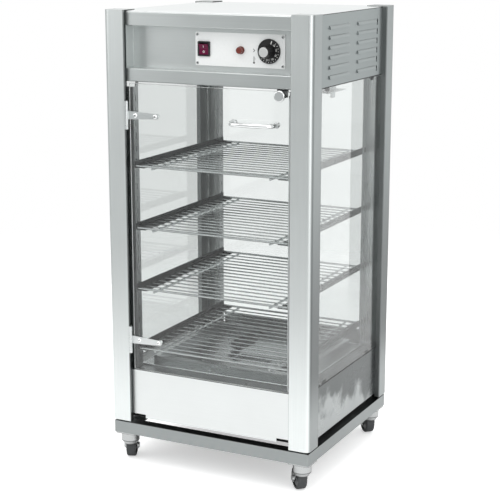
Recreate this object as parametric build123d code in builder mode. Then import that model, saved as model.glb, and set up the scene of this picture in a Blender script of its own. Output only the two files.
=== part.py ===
from build123d import *
import os
from math import cos, radians, sin

os.makedirs("parts", exist_ok=True)

# Heated display case on four swivel casters. Millimetres, +Z up, the front faces -Y.
# The origin is on the floor, under the middle of the overall box.

# Overall size of the cabinet
width = 480.0
depth = 445.0
post_height = 900.0
caster_height = 68.0
frame_rail_height = 27.0
frame_gap = 5.0

# Folded stainless sheet
sheet = 1.5
fold = 15.0
bend_radius = 2.0
inner_bend_radius = 0.5
side_gap = 0.3
running_gap = 0.05

# Corner posts: folded angles with a rounded outer corner and two inward lips
post_flange = 48.0
post_radius = 12.0
recess = 11.0
cap_step = 2.0

# Top box, from the cover down
cover_thickness = 1.5
cover_margin = 4.0
cover_notch_gap = 0.5
cover_edge_chamfer = 0.5
top_rail_height = 28.5
control_height = 88.0
header_height = 28.0
control_setback = 41.0

# Louvres in the sides of the top box
louvre_rows = 6
louvre_pitch = 20.0
louvre_length = 102.0
louvre_bulge = 3.5
louvre_height = 8.0
louvre_drop = 4.0
louvre_first_margin = 105.0
louvre_column_pitch = 148.5
louvre_slot_gap = 9.0
louvre_slot_width = 4.0
vent_slot_count = 7
vent_slot_pitch = 16.0
vent_slot_length = 46.0
vent_slot_width = 4.0

# Lower box
lower_gap = 9.0
lower_box_height = 111.0
sill_opening_margin = 66.0
notch_width = 32.0
notch_height = 8.0

# Underframe and its spacers
frame_side_inset = 3.0
frame_end_inset = 5.0
frame_rail_width = 25.0
frame_wall = 2.0
spacer_radius = 8.0
spacer_margin = 20.0

# Casters
plate_size = 50.0
plate_thickness = 2.5
king_pin_radius = 4.0
king_head_radius = 7.0
king_head_thickness = 2.5
swivel_gap = 0.5
crown_radius = 20.0
crown_thickness = 3.0
crown_edge_radius = 1.5
cup_depth = 16.0
cup_shoulder = 9.0
cup_wall = 2.5
leg_thickness = 2.5
leg_top_width = 28.0
leg_eye_radius = 8.5
caster_trail = 18.0
wheel_radius = 25.0
wheel_width = 20.0
wheel_edge_radius = 3.0
hub_radius = 8.0
hub_overhang = 1.2
wheel_groove_depth = 3.0
tyre_wall = 6.0
axle_radius = 4.0
axle_head_radius = 6.5
axle_head_thickness = 3.0
# Which way each wheel trails at rest, in degrees from straight back towards the left side
trail_angles = {"front_left": 22.0, "front_right": 44.0, "rear_left": 15.0, "rear_right": 42.0}

# Glass
pane_thickness = 4.0
door_thickness = 5.0
door_setback = 4.0
door_edge_gap = 3.0
door_side_gap = 2.0
door_hinge_gap = 10.0
door_corner_radius = 3.0
clip_length = 22.0
clip_leg = 9.0
clip_thickness = 1.5
clip_margin = 90.0

# Door hinges
barrel_radius = 4.0
pin_radius = 2.5
barrel_length = 60.0
strap_root_height = 18.0
strap_tip_height = 10.0
strap_length = 77.0
strap_thickness = 2.0
strap_tip_chamfer = 3.5
hinge_inset = 70.0
strap_screw_first = 21.0
strap_screw_pitch = 48.0
glass_hole_radius = 3.5
screw_radius = 2.5
dome_radius = 5.0
dome_height = 3.2
nut_radius = 5.5
nut_thickness = 4.0

# Door handle, strike disc and magnetic catch
handle_margin = 128.0
handle_pitch = 96.0
handle_drop = 71.0
handle_reach = 34.0
handle_radius = 4.5
handle_crown = 5.0
handle_bend_radius = 18.0
handle_foot_radius = 6.5
handle_foot_height = 3.0
handle_foot_taper = 20.0
strike_margin = 73.0
strike_drop = 12.5
strike_radius = 11.5
strike_thickness = 4.0
strike_back_radius = 9.0
strike_back_thickness = 2.0
strike_edge_radius = 2.4
catch_width = 20.0
catch_height = 16.0
catch_depth = 15.0

# Shelf uprights in the four corners
upright_margin = 37.0
upright_width = 22.0
upright_setback = 20.0
upright_depth = 20.0
upright_top_gap = 12.0
upright_tab_width = 10.0
upright_foot_depth = 24.0
slot_pitch = 27.0
slot_count = 22
slot_height = 12.0
slot_width = 2.4

# Shelf rails and wire shelves
shelf_count = 4
shelf_pitch = 135.0
lowest_shelf = 44.0
shelf_end_margin = 24.0
rail_flange = 24.0
rail_lip = 13.0
hook_reach = 5.0
hook_height = 8.0
hook_tail = 3.0
hook_margin = 8.0
wire_radius = 1.5
border_radius = 2.5
carrier_radius = 2.5
carrier_inset = 42.0
weld_depth = 0.6
thin_wires = 14

# Removable drip tray in the floor
tray_margin = 48.0
tray_hem = 3.0
tray_flange = 22.0
tray_rim_height = 15.0
tray_rim_width = 10.0
tray_sheet = 1.5
tray_floor_drop = 14.0
sump_length = 90.0
sump_width = 64.0
sump_depth = 6.0

# Controls on the label plate
label_left = 198.0
label_width = 204.0
label_height = 68.0
label_thickness = 1.5
label_screw_inset = 5.0
label_screw_radius = 1.5
label_head_radius = 3.0
label_head_thickness = 1.4
switch_offset = 20.5
bezel_width = 28.0
bezel_height = 30.5
bezel_thickness = 3.0
switch_wall = 1.6
switch_cavity_width = 21.5
switch_cavity_height = 25.5
switch_cavity_depth = 10.0
switch_body_depth = 22.0
rocker_pivot_depth = 4.0
rocker_valley = 3.5
rocker_face = 5.8
rocker_half_height = 10.9
rocker_back = 3.0
rocker_back_height = 9.0
rocker_angle = 10.0
rocker_pin_radius = 1.5
rocker_pin_length = 0.8
lamp_offset = 105.0
lamp_flange_radius = 8.0
lamp_flange_thickness = 1.5
lamp_lens_radius = 6.8
lamp_lens_height = 10.0
lamp_lens_edge = 2.3
lamp_body_radius = 5.8
lamp_body_depth = 22.0
dial_offset = 169.0
dial_gap = 0.8
dial_radius = 25.0
dial_thickness = 3.0
dial_edge = 1.0
grip_radius = 12.0
grip_tip_radius = 11.0
grip_height = 24.0
cap_radius = 10.0
cap_thickness = 2.0
cap_pocket_depth = 1.5
cap_edge = 0.4
shaft_radius = 3.0
shaft_depth = 14.0
bushing_radius = 5.5
thermostat_size = 46.0
thermostat_depth = 32.0

# Temperature probe under the ceiling
probe_margin = 31.5
probe_plate_start = 118.0
probe_plate_length = 92.0
probe_plate_width = 24.0
probe_drop = 16.5
probe_position = 49.0
probe_radius = 5.0
probe_length = 13.0
capillary_radius = 1.2
capillary_rise = 30.0

# Tubular heater under the tray
heater_radius = 4.0
heater_level = 58.0
heater_length = 300.0
heater_bend = 30.0
heater_bend_relief = 1.5
heater_runs = 4
heater_leg_width = 12.0
heater_leg_pitch = 150.0

# Cable gland in the back of the top box
gland_margin = 90.0
gland_bore_radius = 4.5
gland_body_radius = 10.0
gland_hex_radius = 13.5
gland_hex_length = 7.0
gland_dome_radius = 12.0
gland_dome_edge = 3.0
gland_length = 31.0
gland_tail = 9.0
gland_nut_thickness = 5.0

# Heights above the posts' lower ends, worked out from the stack of parts
cover_top = post_height - cap_step
panel_top = cover_top - cover_thickness
top_rail_bottom = panel_top - top_rail_height
header_top = top_rail_bottom - control_height
header_bottom = header_top - header_height
sill_top = lower_gap + lower_box_height
ceiling_bottom = header_bottom + sheet
shelf_levels = [sill_top + lowest_shelf + shelf_pitch * step for step in range(shelf_count)]
slot_first = shelf_levels[0] + rail_lip - hook_height - slot_pitch

# Places in the common frame
half = width / 2
z_post = caster_height + frame_rail_height + frame_gap
handle_out = handle_reach - door_setback
gland_out = gland_length - recess
y_front = -(depth + handle_out + gland_out) / 2 + handle_out
y_back = y_front + depth
inner_half = half - recess - sheet
opening_half = half - post_flange
y_control = y_front + control_setback
z_control = z_post + (header_top + top_rail_bottom) / 2
y_label = y_control - label_thickness


def front(margin):
    return y_front + margin


def back(margin):
    return y_back - margin


def level(height):
    return z_post + height


def slab(x_span, y_span, z_span, mode=Mode.ADD):
    """A plain block between two values on each axis."""
    spans = (x_span, y_span, z_span)
    sizes = [abs(span[1] - span[0]) for span in spans]
    with Locations(tuple((span[0] + span[1]) / 2 for span in spans)):
        Box(*sizes, mode=mode)


def folded(points, bends, plane, length):
    """A folded sheet: its closed outline on a plane, with rounded bends, drawn out to a length."""
    with BuildSketch(plane) as section:
        with BuildLine():
            Polyline(*points, close=True)
        make_face()
        for corner, radius in bends:
            fillet(section.vertices().sort_by_distance(corner)[0], radius)
    extrude(section.sketch, amount=length)


def rod(plane, start, radius, length, mode=Mode.ADD):
    """A round bar or hole along a plane's normal, starting at a point on the plane."""
    with BuildSketch(plane) as section:
        with Locations(start):
            Circle(radius)
    extrude(section.sketch, amount=length, mode=mode)


def quarter(corner, x_radius, y_radius):
    """A quarter of an ellipse in the current sketch, from its corner outwards and upwards."""
    with BuildLine() as outline:
        EllipticalCenterArc(corner, x_radius, y_radius, arc_size=90)
        Polyline((corner[0] + x_radius, corner[1]), corner, (corner[0], corner[1] + y_radius))
    make_face(outline.edges())


def save(piece, name):
    piece.part.label = name
    export_step(piece.part, f"parts/{name}.step")


def save_group(solids, name):
    """Writes solids that touch face to face as one node, without joining them."""
    group = Compound(solids)
    group.label = name
    export_step(group, f"parts/{name}.step")


# Corner posts. Each is a folded angle with lips that reach back to the panels, and a closed top.
def make_post(name, side, end):
    def corner(across, along):
        y = front(along) if end < 0 else back(along)
        return (side * (half - across), y)

    inner = post_flange - sheet
    outline = [
        corner(recess, post_flange), corner(0, post_flange), corner(0, 0), corner(post_flange, 0),
        corner(post_flange, recess), corner(inner, recess), corner(inner, sheet), corner(sheet, sheet),
        corner(sheet, inner), corner(recess, inner),
    ]
    bends = [
        (corner(0, 0), post_radius), (corner(sheet, sheet), post_radius - sheet),
        (corner(post_flange, 0), bend_radius), (corner(inner, sheet), inner_bend_radius),
        (corner(0, post_flange), bend_radius), (corner(sheet, inner), inner_bend_radius),
    ]
    with BuildPart() as post:
        folded(outline, bends, Plane.XY.offset(z_post), post_height - sheet)
        with BuildSketch(Plane.XY.offset(level(post_height) - sheet)) as closure:
            with Locations(corner(post_flange / 2, post_flange / 2)):
                Rectangle(post_flange, post_flange)
            fillet(closure.vertices().sort_by_distance(corner(0, 0))[0], post_radius)
            fillet(closure.vertices().sort_by_distance(corner(post_flange, 0))[0], bend_radius)
            fillet(closure.vertices().sort_by_distance(corner(0, post_flange))[0], bend_radius)
        extrude(amount=sheet)
    save(post, name)


def make_posts():
    make_post("post_front_left", -1, -1)
    make_post("post_front_right", 1, -1)
    make_post("post_rear_left", -1, 1)
    make_post("post_rear_right", 1, 1)


# Top cover: a flat plate on the flanges of the top box, notched round the posts' tops
def make_top_cover():
    edge = recess + cover_margin
    notch = post_flange + cover_notch_gap
    with BuildPart() as cover:
        with BuildSketch(Plane.XY.offset(level(panel_top))):
            with Locations((0, (y_front + y_back) / 2)):
                Rectangle(2 * (half - edge), depth - 2 * notch)
                Rectangle(2 * (half - notch), depth - 2 * edge)
        extrude(amount=cover_thickness)
        chamfer(cover.faces().sort_by(Axis.Z)[-1].edges(), cover_edge_chamfer)
    save(cover, "top_cover")


# The two rails across the front, channels that open towards the back
def make_front_rails():
    y_outer = front(recess)
    y_inner = y_outer + sheet
    y_deep = y_control + sheet
    rails = {
        "top_front_rail": (level(top_rail_bottom), level(panel_top), y_deep, y_inner + fold),
        "door_header_rail": (level(header_bottom), level(header_top), y_inner + fold, y_deep),
    }
    for name, (z_low, z_high, y_low, y_high) in rails.items():
        outline = [
            (y_outer, z_low), (y_low, z_low), (y_low, z_low + sheet), (y_inner, z_low + sheet),
            (y_inner, z_high - sheet), (y_high, z_high - sheet), (y_high, z_high), (y_outer, z_high),
        ]
        bends = [
            ((y_outer, z_low), bend_radius), ((y_outer, z_high), bend_radius),
            ((y_inner, z_low + sheet), inner_bend_radius), ((y_inner, z_high - sheet), inner_bend_radius),
        ]
        with BuildPart() as rail:
            folded(outline, bends, Plane.YZ.offset(-inner_half), 2 * inner_half)
        save(rail, name)


# Places of the controls, shared by the panel, the label plate and what is fitted to them
x_label = -half + label_left + label_width / 2
x_switch = -half + label_left + switch_offset
x_lamp = -half + label_left + lamp_offset
x_dial = -half + label_left + dial_offset
switch_outer_width = switch_cavity_width + 2 * switch_wall
switch_outer_height = switch_cavity_height + 2 * switch_wall
label_screws_x = label_width - 2 * label_screw_inset
label_screws_z = label_height - 2 * label_screw_inset


def cut_control_holes(y_face, thickness):
    """Holes for the switch, lamp, thermostat and label screws, through a plate's thickness."""
    with BuildSketch(Plane.XZ.offset(-(y_face + thickness))) as holes:
        with Locations((x_switch, z_control)):
            Rectangle(switch_outer_width + 2 * side_gap, switch_outer_height + 2 * side_gap)
        with Locations((x_lamp, z_control)):
            Circle(lamp_body_radius + side_gap)
        with Locations((x_dial, z_control)):
            Circle(bushing_radius + side_gap)
        with Locations((x_label, z_control)):
            with GridLocations(label_screws_x, label_screws_z, 2, 2):
                Circle(label_screw_radius + running_gap)
    extrude(holes.sketch, amount=thickness, mode=Mode.SUBTRACT)


# Control panel: a shallow tray set back between the two front rails
def make_control_panel():
    x_outer = opening_half + sheet
    y_open = front(recess)
    outline = [
        (-x_outer, y_open), (-x_outer, y_control + sheet), (x_outer, y_control + sheet),
        (x_outer, y_open), (opening_half, y_open), (opening_half, y_control),
        (-opening_half, y_control), (-opening_half, y_open),
    ]
    bends = [
        ((-x_outer, y_control + sheet), bend_radius), ((x_outer, y_control + sheet), bend_radius),
        ((opening_half, y_control), inner_bend_radius), ((-opening_half, y_control), inner_bend_radius),
    ]
    with BuildPart() as panel:
        folded(outline, bends, Plane.XY.offset(level(header_top)), control_height)
        cut_control_holes(y_control, sheet)
    save(panel, "control_panel")


# Sides of the top box: flanged panels with two columns of pressed louvres
def make_top_sides():
    x_outer = half - recess
    x_inner = x_outer - sheet
    y_span = (front(recess + sheet + fold), back(recess + sheet + fold))
    z_middle = (level(header_bottom) + level(panel_top)) / 2
    z_first = z_middle - louvre_pitch * (louvre_rows - 1) / 2 - louvre_height / 2 - louvre_drop
    bulge_x = louvre_bulge + sheet
    with BuildPart() as side:
        slab((x_inner, x_outer), (front(recess), back(recess)), (level(header_bottom), level(panel_top)))
        slab((x_inner - fold, x_inner), y_span, (level(header_bottom), level(ceiling_bottom)))
        slab((x_inner - fold, x_inner), y_span, (level(panel_top) - sheet, level(panel_top)))
        for column in range(2):
            y_start = front(louvre_first_margin) + column * louvre_column_pitch
            y_end = y_start + louvre_length
            rows = [(x_inner, z_first + row * louvre_pitch) for row in range(louvre_rows)]
            # A hood is a quarter of an ellipse standing out of the panel, open below
            with BuildSketch(Plane.XZ.offset(-y_end)):
                for corner in rows:
                    quarter(corner, bulge_x, louvre_height)
            extrude(amount=louvre_length)
            with BuildSketch(Plane.XZ.offset(-(y_end - sheet))):
                for corner in rows:
                    quarter(corner, bulge_x - sheet, louvre_height - sheet)
            extrude(amount=louvre_length - 2 * sheet, mode=Mode.SUBTRACT)
        # Slots behind the rear column, one at each row
        y_slot = y_end + louvre_slot_gap
        for x_corner, z_corner in rows:
            slab((x_inner, x_outer), (y_slot, y_slot + louvre_slot_width),
                 (z_corner, z_corner + louvre_height), mode=Mode.SUBTRACT)
    save(side, "top_right_panel")
    with BuildPart() as mirrored:
        mirror(side.part, about=Plane.YZ)
    save(mirrored, "top_left_panel")


# Ceiling of the heated chamber, lying on the lower flanges of the top box
def make_ceiling():
    edge = recess + sheet + inner_bend_radius
    with BuildPart() as ceiling:
        slab((-half + edge, half - edge), (front(edge), back(edge)),
             (level(ceiling_bottom), level(ceiling_bottom) + sheet))
        with BuildSketch(Plane.XY.offset(level(ceiling_bottom))):
            with Locations((half - probe_margin, front(probe_plate_start + probe_position))):
                Circle(capillary_radius + side_gap)
        extrude(amount=sheet, mode=Mode.SUBTRACT)
    save(ceiling, "ceiling_panel")


# Back of the top box, with ventilation slots and the hole for the cable gland
x_gland = half - gland_margin
z_gland = level((header_bottom + panel_top) / 2)


def make_top_back():
    y_outer = back(recess)
    y_inner = y_outer - sheet
    z_low = level(header_bottom)
    z_high = level(panel_top)
    outline = [
        (y_outer, z_low), (y_outer, z_high), (y_inner - fold, z_high), (y_inner - fold, z_high - sheet),
        (y_inner, z_high - sheet), (y_inner, z_low + sheet), (y_inner - fold, z_low + sheet),
        (y_inner - fold, z_low),
    ]
    bends = [
        ((y_outer, z_low), bend_radius), ((y_outer, z_high), bend_radius),
        ((y_inner, z_low + sheet), inner_bend_radius), ((y_inner, z_high - sheet), inner_bend_radius),
    ]
    with BuildPart() as panel:
        folded(outline, bends, Plane.YZ.offset(-inner_half), 2 * inner_half)
        with BuildSketch(Plane.XZ.offset(-y_outer)):
            with Locations((x_gland, z_gland)):
                Circle(gland_body_radius + running_gap)
            with Locations((0, z_gland)):
                with GridLocations(vent_slot_pitch, vent_slot_length, vent_slot_count, 1):
                    SlotOverall(vent_slot_length, vent_slot_width, rotation=90)
        extrude(amount=sheet, mode=Mode.SUBTRACT)
    save(panel, "top_back_panel")


# Lower box: four panels with an inward bottom flange, a base plate and the sill on top
def make_lower_box():
    z_low = level(lower_gap)
    z_high = level(sill_top) - sheet
    with BuildPart() as panel:
        y_outer = front(recess)
        slab((-inner_half, inner_half), (y_outer, y_outer + sheet), (z_low, z_high))
        slab((-inner_half, inner_half), (y_outer + sheet, y_outer + sheet + fold), (z_low, z_low + sheet))
        for side in (-1, 1):
            notch = (side * opening_half, side * (opening_half - notch_width))
            slab(notch, (y_outer, y_outer + sheet + fold), (z_low, z_low + notch_height),
                 mode=Mode.SUBTRACT)
    save(panel, "lower_front_panel")
    with BuildPart() as panel:
        y_outer = back(recess)
        slab((-inner_half, inner_half), (y_outer - sheet, y_outer), (z_low, z_high))
        slab((-inner_half, inner_half), (y_outer - sheet - fold, y_outer - sheet), (z_low, z_low + sheet))
    save(panel, "lower_back_panel")
    for name, side in (("lower_left_panel", -1), ("lower_right_panel", 1)):
        with BuildPart() as panel:
            slab((side * inner_half, side * (inner_half + sheet)), (front(recess), back(recess)),
                 (z_low, z_high))
            slab((side * (inner_half - fold), side * inner_half),
                 (front(recess + sheet + fold), back(recess + sheet + fold)), (z_low, z_low + sheet))
        save(panel, name)
    with BuildPart() as sill:
        slab((-half + recess, half - recess), (front(recess), back(recess)), (z_high, z_high + sheet))
        slab((-half + sill_opening_margin, half - sill_opening_margin),
             (front(sill_opening_margin), back(sill_opening_margin)), (z_high, z_high + sheet),
             mode=Mode.SUBTRACT)
    save(sill, "sill_frame")
    with BuildPart() as base:
        edge = recess + sheet + side_gap
        slab((-half + edge, half - edge), (front(edge), back(edge)), (z_low + sheet, z_low + 2 * sheet))
    save(base, "base_plate")


# Underframe: four channels, open inwards, whose webs meet at the corners
def make_underframe():
    z_low = caster_height
    z_high = caster_height + frame_rail_height
    x_outer = half - frame_side_inset
    insets = (frame_end_inset, frame_end_inset + frame_wall, frame_end_inset + frame_rail_width)
    y_spans = ([front(inset) for inset in insets], [back(inset) for inset in insets])
    flange_x = (-x_outer + frame_wall, x_outer - frame_wall)
    with BuildPart() as cross_rails:
        for y_web, y_inside, y_tip in y_spans:
            slab((-x_outer, x_outer), (y_web, y_inside), (z_low, z_high))
            slab(flange_x, (y_inside, y_tip), (z_low, z_low + frame_wall))
            slab(flange_x, (y_inside, y_tip), (z_high - frame_wall, z_high))
    save(cross_rails, "underframe_cross_rails")
    with BuildPart() as side_rails:
        for side in (-1, 1):
            x_web = side * x_outer
            x_inside = side * (x_outer - frame_wall)
            x_tip = side * (x_outer - frame_rail_width)
            flange_span = (y_spans[0][2], y_spans[1][2])
            slab((x_web, x_inside), (y_spans[0][1], y_spans[1][1]), (z_low, z_high))
            slab((x_inside, x_tip), flange_span, (z_low, z_low + frame_wall))
            slab((x_inside, x_tip), flange_span, (z_high - frame_wall, z_high))
    save(side_rails, "underframe_side_rails")
    with BuildPart() as spacers:
        with BuildSketch(Plane.XY.offset(z_high)):
            for x in (-half + spacer_margin, half - spacer_margin):
                with Locations((x, front(spacer_margin)), (x, back(spacer_margin))):
                    Circle(spacer_radius)
        extrude(amount=frame_gap + lower_gap)
    save(spacers, "frame_spacers")


# Casters. The plate carries a headed king pin; the fork turns on it and holds the wheel's rivet.
caster_x = half - frame_side_inset - plate_size / 2
caster_y_front = front(frame_end_inset + plate_size / 2)
caster_y_back = back(frame_end_inset + plate_size / 2)
caster_places = {
    "front_left": (-caster_x, caster_y_front),
    "front_right": (caster_x, caster_y_front),
    "rear_left": (-caster_x, caster_y_back),
    "rear_right": (caster_x, caster_y_back),
}
crown_top = caster_height - plate_thickness - swivel_gap
crown_bottom = crown_top - crown_thickness
leg_inside = wheel_width / 2 + hub_overhang + side_gap


def make_caster_plates():
    with BuildPart() as plates:
        with BuildSketch(Plane.XY.offset(caster_height - plate_thickness)):
            with Locations(*caster_places.values()):
                RectangleRounded(plate_size, plate_size, post_radius / 2)
        extrude(amount=plate_thickness)
        z_head = crown_bottom - swivel_gap - king_head_thickness
        with BuildSketch(Plane.XY.offset(z_head)):
            with Locations(*caster_places.values()):
                Circle(king_pin_radius)
        extrude(amount=caster_height - plate_thickness - z_head)
        with BuildSketch(Plane.XY.offset(z_head)):
            with Locations(*caster_places.values()):
                Circle(king_head_radius)
        extrude(amount=king_head_thickness)
    save(plates, "caster_plates")


def cup(x, y, upper_radius, lower_radius, mode):
    """A round body under the crown whose lower part tapers to the width of the legs."""
    z_shoulder = crown_bottom - cup_depth
    lifted = (Align.CENTER, Align.CENTER, Align.MIN)
    with Locations((x, y, z_shoulder)):
        Cylinder(upper_radius, cup_depth, align=lifted, mode=mode)
    with Locations((x, y, z_shoulder - cup_shoulder)):
        Cone(lower_radius, upper_radius, cup_shoulder, align=lifted, mode=mode)


def make_caster(corner, x, y, angle):
    trail = Vector(-sin(radians(angle)), cos(radians(angle)), 0)
    axle = Vector(cos(radians(angle)), sin(radians(angle)), 0)
    leg_plane = Plane(origin=(x, y, 0), x_dir=trail, z_dir=axle)
    hub = (caster_trail, wheel_radius)
    with BuildPart() as fork:
        with BuildSketch(Plane.XY.offset(crown_bottom)):
            with Locations((x, y)):
                Circle(crown_radius)
        extrude(amount=crown_thickness)
        fillet(fork.edges().group_by(Axis.Z)[-1], crown_edge_radius)
        # The cup hangs from the crown, narrows to the legs and is open where the wheel trails
        cup(x, y, crown_radius, leg_inside + leg_thickness, Mode.ADD)
        cup(x, y, crown_radius - cup_wall, leg_inside, Mode.SUBTRACT)
        with BuildSketch(leg_plane.offset(-leg_inside)):
            with Locations((crown_radius / 2, crown_bottom - cup_wall - (cup_depth + cup_shoulder) / 2)):
                Rectangle(crown_radius, cup_depth + cup_shoulder)
        extrude(amount=2 * leg_inside, mode=Mode.SUBTRACT)
        for start in (leg_inside, -leg_inside - leg_thickness):
            with BuildSketch(leg_plane.offset(start)):
                with Locations(hub):
                    Circle(leg_eye_radius)
                with Locations((0, crown_bottom)):
                    Rectangle(leg_top_width, crown_edge_radius)
                make_hull()
            extrude(amount=leg_thickness)
        half_length = leg_inside + leg_thickness
        rod(leg_plane.offset(-half_length), hub, axle_radius, 2 * half_length)
        for start in (half_length, -half_length - axle_head_thickness):
            rod(leg_plane.offset(start), hub, axle_head_radius, axle_head_thickness)
        rod(Plane.XY.offset(crown_bottom), (x, y), king_pin_radius + running_gap, crown_thickness,
            Mode.SUBTRACT)
    save(fork, f"caster_fork_{corner}")
    with BuildPart() as wheel:
        rod(leg_plane.offset(-wheel_width / 2), hub, wheel_radius, wheel_width)
        fillet(wheel.edges().filter_by(GeomType.CIRCLE), wheel_edge_radius)
        for start in (-wheel_width / 2, wheel_width / 2 - wheel_groove_depth):
            with BuildSketch(leg_plane.offset(start)):
                with Locations(hub):
                    Circle(wheel_radius - tyre_wall)
                    Circle(hub_radius, mode=Mode.SUBTRACT)
            extrude(amount=wheel_groove_depth, mode=Mode.SUBTRACT)
        hub_half = wheel_width / 2 + hub_overhang
        rod(leg_plane.offset(-hub_half), hub, hub_radius, 2 * hub_half)
        rod(leg_plane.offset(-hub_half), hub, axle_radius + running_gap, 2 * hub_half, Mode.SUBTRACT)
    save(wheel, f"caster_wheel_{corner}")


def make_casters():
    make_caster_plates()
    for corner, (x, y) in caster_places.items():
        make_caster(corner, x, y, trail_angles[corner])


# Fixed panes, standing on the sill behind the posts' lips, and the clips that hold them
def make_panes():
    z_span = (level(sill_top), level(header_bottom))
    x_outer = half - recess
    for name, side in (("left_glass", -1), ("right_glass", 1)):
        with BuildPart() as pane:
            slab((side * (x_outer - pane_thickness), side * x_outer),
                 (front(recess + sheet), back(recess + sheet)), z_span)
        save(pane, name)
    x_edge = x_outer - pane_thickness - side_gap
    with BuildPart() as pane:
        slab((-x_edge, x_edge), (back(recess + pane_thickness), back(recess)), z_span)
    save(pane, "rear_glass")
    x_clip = x_outer - pane_thickness
    y_clip = back(recess + pane_thickness)
    side_places = (front(clip_margin), back(clip_margin + clip_length))
    back_places = (-half + clip_margin, half - clip_margin - clip_length)
    with BuildPart() as clips:
        for z, up in ((level(sill_top), 1), (level(header_bottom), -1)):
            for y in side_places:
                for side in (-1, 1):
                    slab((side * (x_clip - clip_thickness), side * x_clip), (y, y + clip_length),
                         (z, z + up * clip_leg))
                    slab((side * (x_clip - clip_leg), side * (x_clip - clip_thickness)),
                         (y, y + clip_length), (z, z + up * clip_thickness))
            for x in back_places:
                slab((x, x + clip_length), (y_clip - clip_thickness, y_clip), (z, z + up * clip_leg))
                slab((x, x + clip_length), (y_clip - clip_leg, y_clip - clip_thickness),
                     (z, z + up * clip_thickness))
    save(clips, "glass_clips")


# Door: a frameless pane hung on two strap hinges at its left side
x_axis = -half + post_flange + barrel_radius
y_axis = front(door_setback - barrel_radius)
hinge_levels = (level(header_bottom - hinge_inset), level(sill_top + hinge_inset))
strap_screw_places = [x_axis + strap_screw_first, x_axis + strap_screw_first + strap_screw_pitch]
x_handle = half - handle_margin
z_handle = level(header_bottom - handle_drop)
handle_feet = [x_handle - handle_pitch / 2, x_handle + handle_pitch / 2]
x_strike = half - strike_margin
z_strike = level(header_bottom - strike_drop)
y_glass = front(door_setback)
y_glass_back = y_glass + door_thickness
knuckle_half = strap_root_height / 2


def make_door_glass():
    x_span = (-half + post_flange + door_hinge_gap, opening_half - door_side_gap)
    z_span = (level(sill_top) + door_edge_gap, level(header_bottom) - door_edge_gap)
    with BuildPart() as glass:
        with BuildSketch(Plane.XZ.offset(-y_glass_back)):
            with Locations((sum(x_span) / 2, sum(z_span) / 2)):
                RectangleRounded(x_span[1] - x_span[0], z_span[1] - z_span[0], door_corner_radius)
            with Locations(*[(x, z) for x in strap_screw_places for z in hinge_levels]):
                Circle(glass_hole_radius, mode=Mode.SUBTRACT)
            with Locations(*[(x, z_handle) for x in handle_feet], (x_strike, z_strike)):
                Circle(glass_hole_radius, mode=Mode.SUBTRACT)
        extrude(amount=door_thickness)
    save(glass, "door_glass")


def make_hinges():
    knuckle_gap = knuckle_half + side_gap
    x_tip = x_axis + strap_length
    pivot = (x_axis, y_axis)
    with BuildPart() as straps:
        for z in hinge_levels:
            rod(Plane.XY.offset(z - knuckle_half), pivot, barrel_radius, strap_root_height)
            with BuildSketch(Plane.XZ.offset(-y_glass)) as outline:
                with BuildLine():
                    Polyline((x_axis, z - knuckle_half), (x_tip, z - strap_tip_height / 2),
                             (x_tip, z + strap_tip_height / 2), (x_axis, z + knuckle_half), close=True)
                make_face()
                chamfer(outline.vertices().group_by(Axis.X)[-1], strap_tip_chamfer)
                with Locations(*[(x, z) for x in strap_screw_places]):
                    Circle(screw_radius + running_gap, mode=Mode.SUBTRACT)
            extrude(amount=strap_thickness)
            rod(Plane.XY.offset(z - knuckle_half), pivot, pin_radius + running_gap, strap_root_height,
                Mode.SUBTRACT)
    save(straps, "hinge_straps")
    with BuildPart() as brackets:
        for z in hinge_levels:
            low = z - barrel_length / 2
            slab((-half + post_flange, -half + post_flange + sheet), (y_axis, front(recess - sheet)),
                 (low, low + barrel_length))
            rod(Plane.XY.offset(low), pivot, barrel_radius, barrel_length)
            rod(Plane.XY.offset(z - knuckle_gap), pivot, barrel_radius + side_gap, 2 * knuckle_gap,
                Mode.SUBTRACT)
            rod(Plane.XY.offset(low), pivot, pin_radius, barrel_length)
    save(brackets, "hinge_brackets")


def make_door_screws():
    y_strap = y_glass - strap_thickness
    strap_points = [(x, z) for x in strap_screw_places for z in hinge_levels]
    handle_points = [(x, z_handle) for x in handle_feet]
    with BuildPart() as screws:
        with BuildSketch(Plane.XZ.offset(-y_strap)):
            with Locations(*strap_points):
                Circle(dome_radius)
        extrude(amount=dome_height)
        fillet(screws.edges().group_by(Axis.Y)[0], dome_height - side_gap)
        with BuildSketch(Plane.XZ.offset(-y_glass_back)):
            with Locations(*strap_points):
                Circle(screw_radius)
        extrude(amount=door_thickness + strap_thickness)
        with BuildSketch(Plane.XZ.offset(-y_glass_back)):
            with Locations(*handle_points):
                Circle(screw_radius)
        extrude(amount=door_thickness)
        with BuildSketch(Plane.XZ.offset(-(y_glass_back + nut_thickness))):
            with Locations(*strap_points, *handle_points):
                RegularPolygon(nut_radius, 6)
        extrude(amount=nut_thickness)
    save(screws, "door_screws")


def make_handle():
    y_bar = y_glass - handle_reach + handle_radius
    with BuildPart() as handle:
        with BuildLine(Plane.XY.offset(z_handle)) as path:
            shoulders = [(x, y_bar + handle_crown) for x in handle_feet]
            Line((handle_feet[0], y_glass), shoulders[0])
            ThreePointArc(shoulders[0], (x_handle, y_bar), shoulders[1])
            Line(shoulders[1], (handle_feet[1], y_glass))
            fillet(path.vertices().group_by(Axis.Y)[0], handle_bend_radius)
        with BuildSketch(Plane(origin=path.line @ 0, z_dir=path.line % 0)):
            Circle(handle_radius)
        sweep(path=path.line)
        with BuildSketch(Plane.XZ.offset(-y_glass)):
            with Locations(*[(x, z_handle) for x in handle_feet]):
                Circle(handle_foot_radius)
        extrude(amount=handle_foot_height, taper=handle_foot_taper)
    save(handle, "door_handle")


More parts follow.
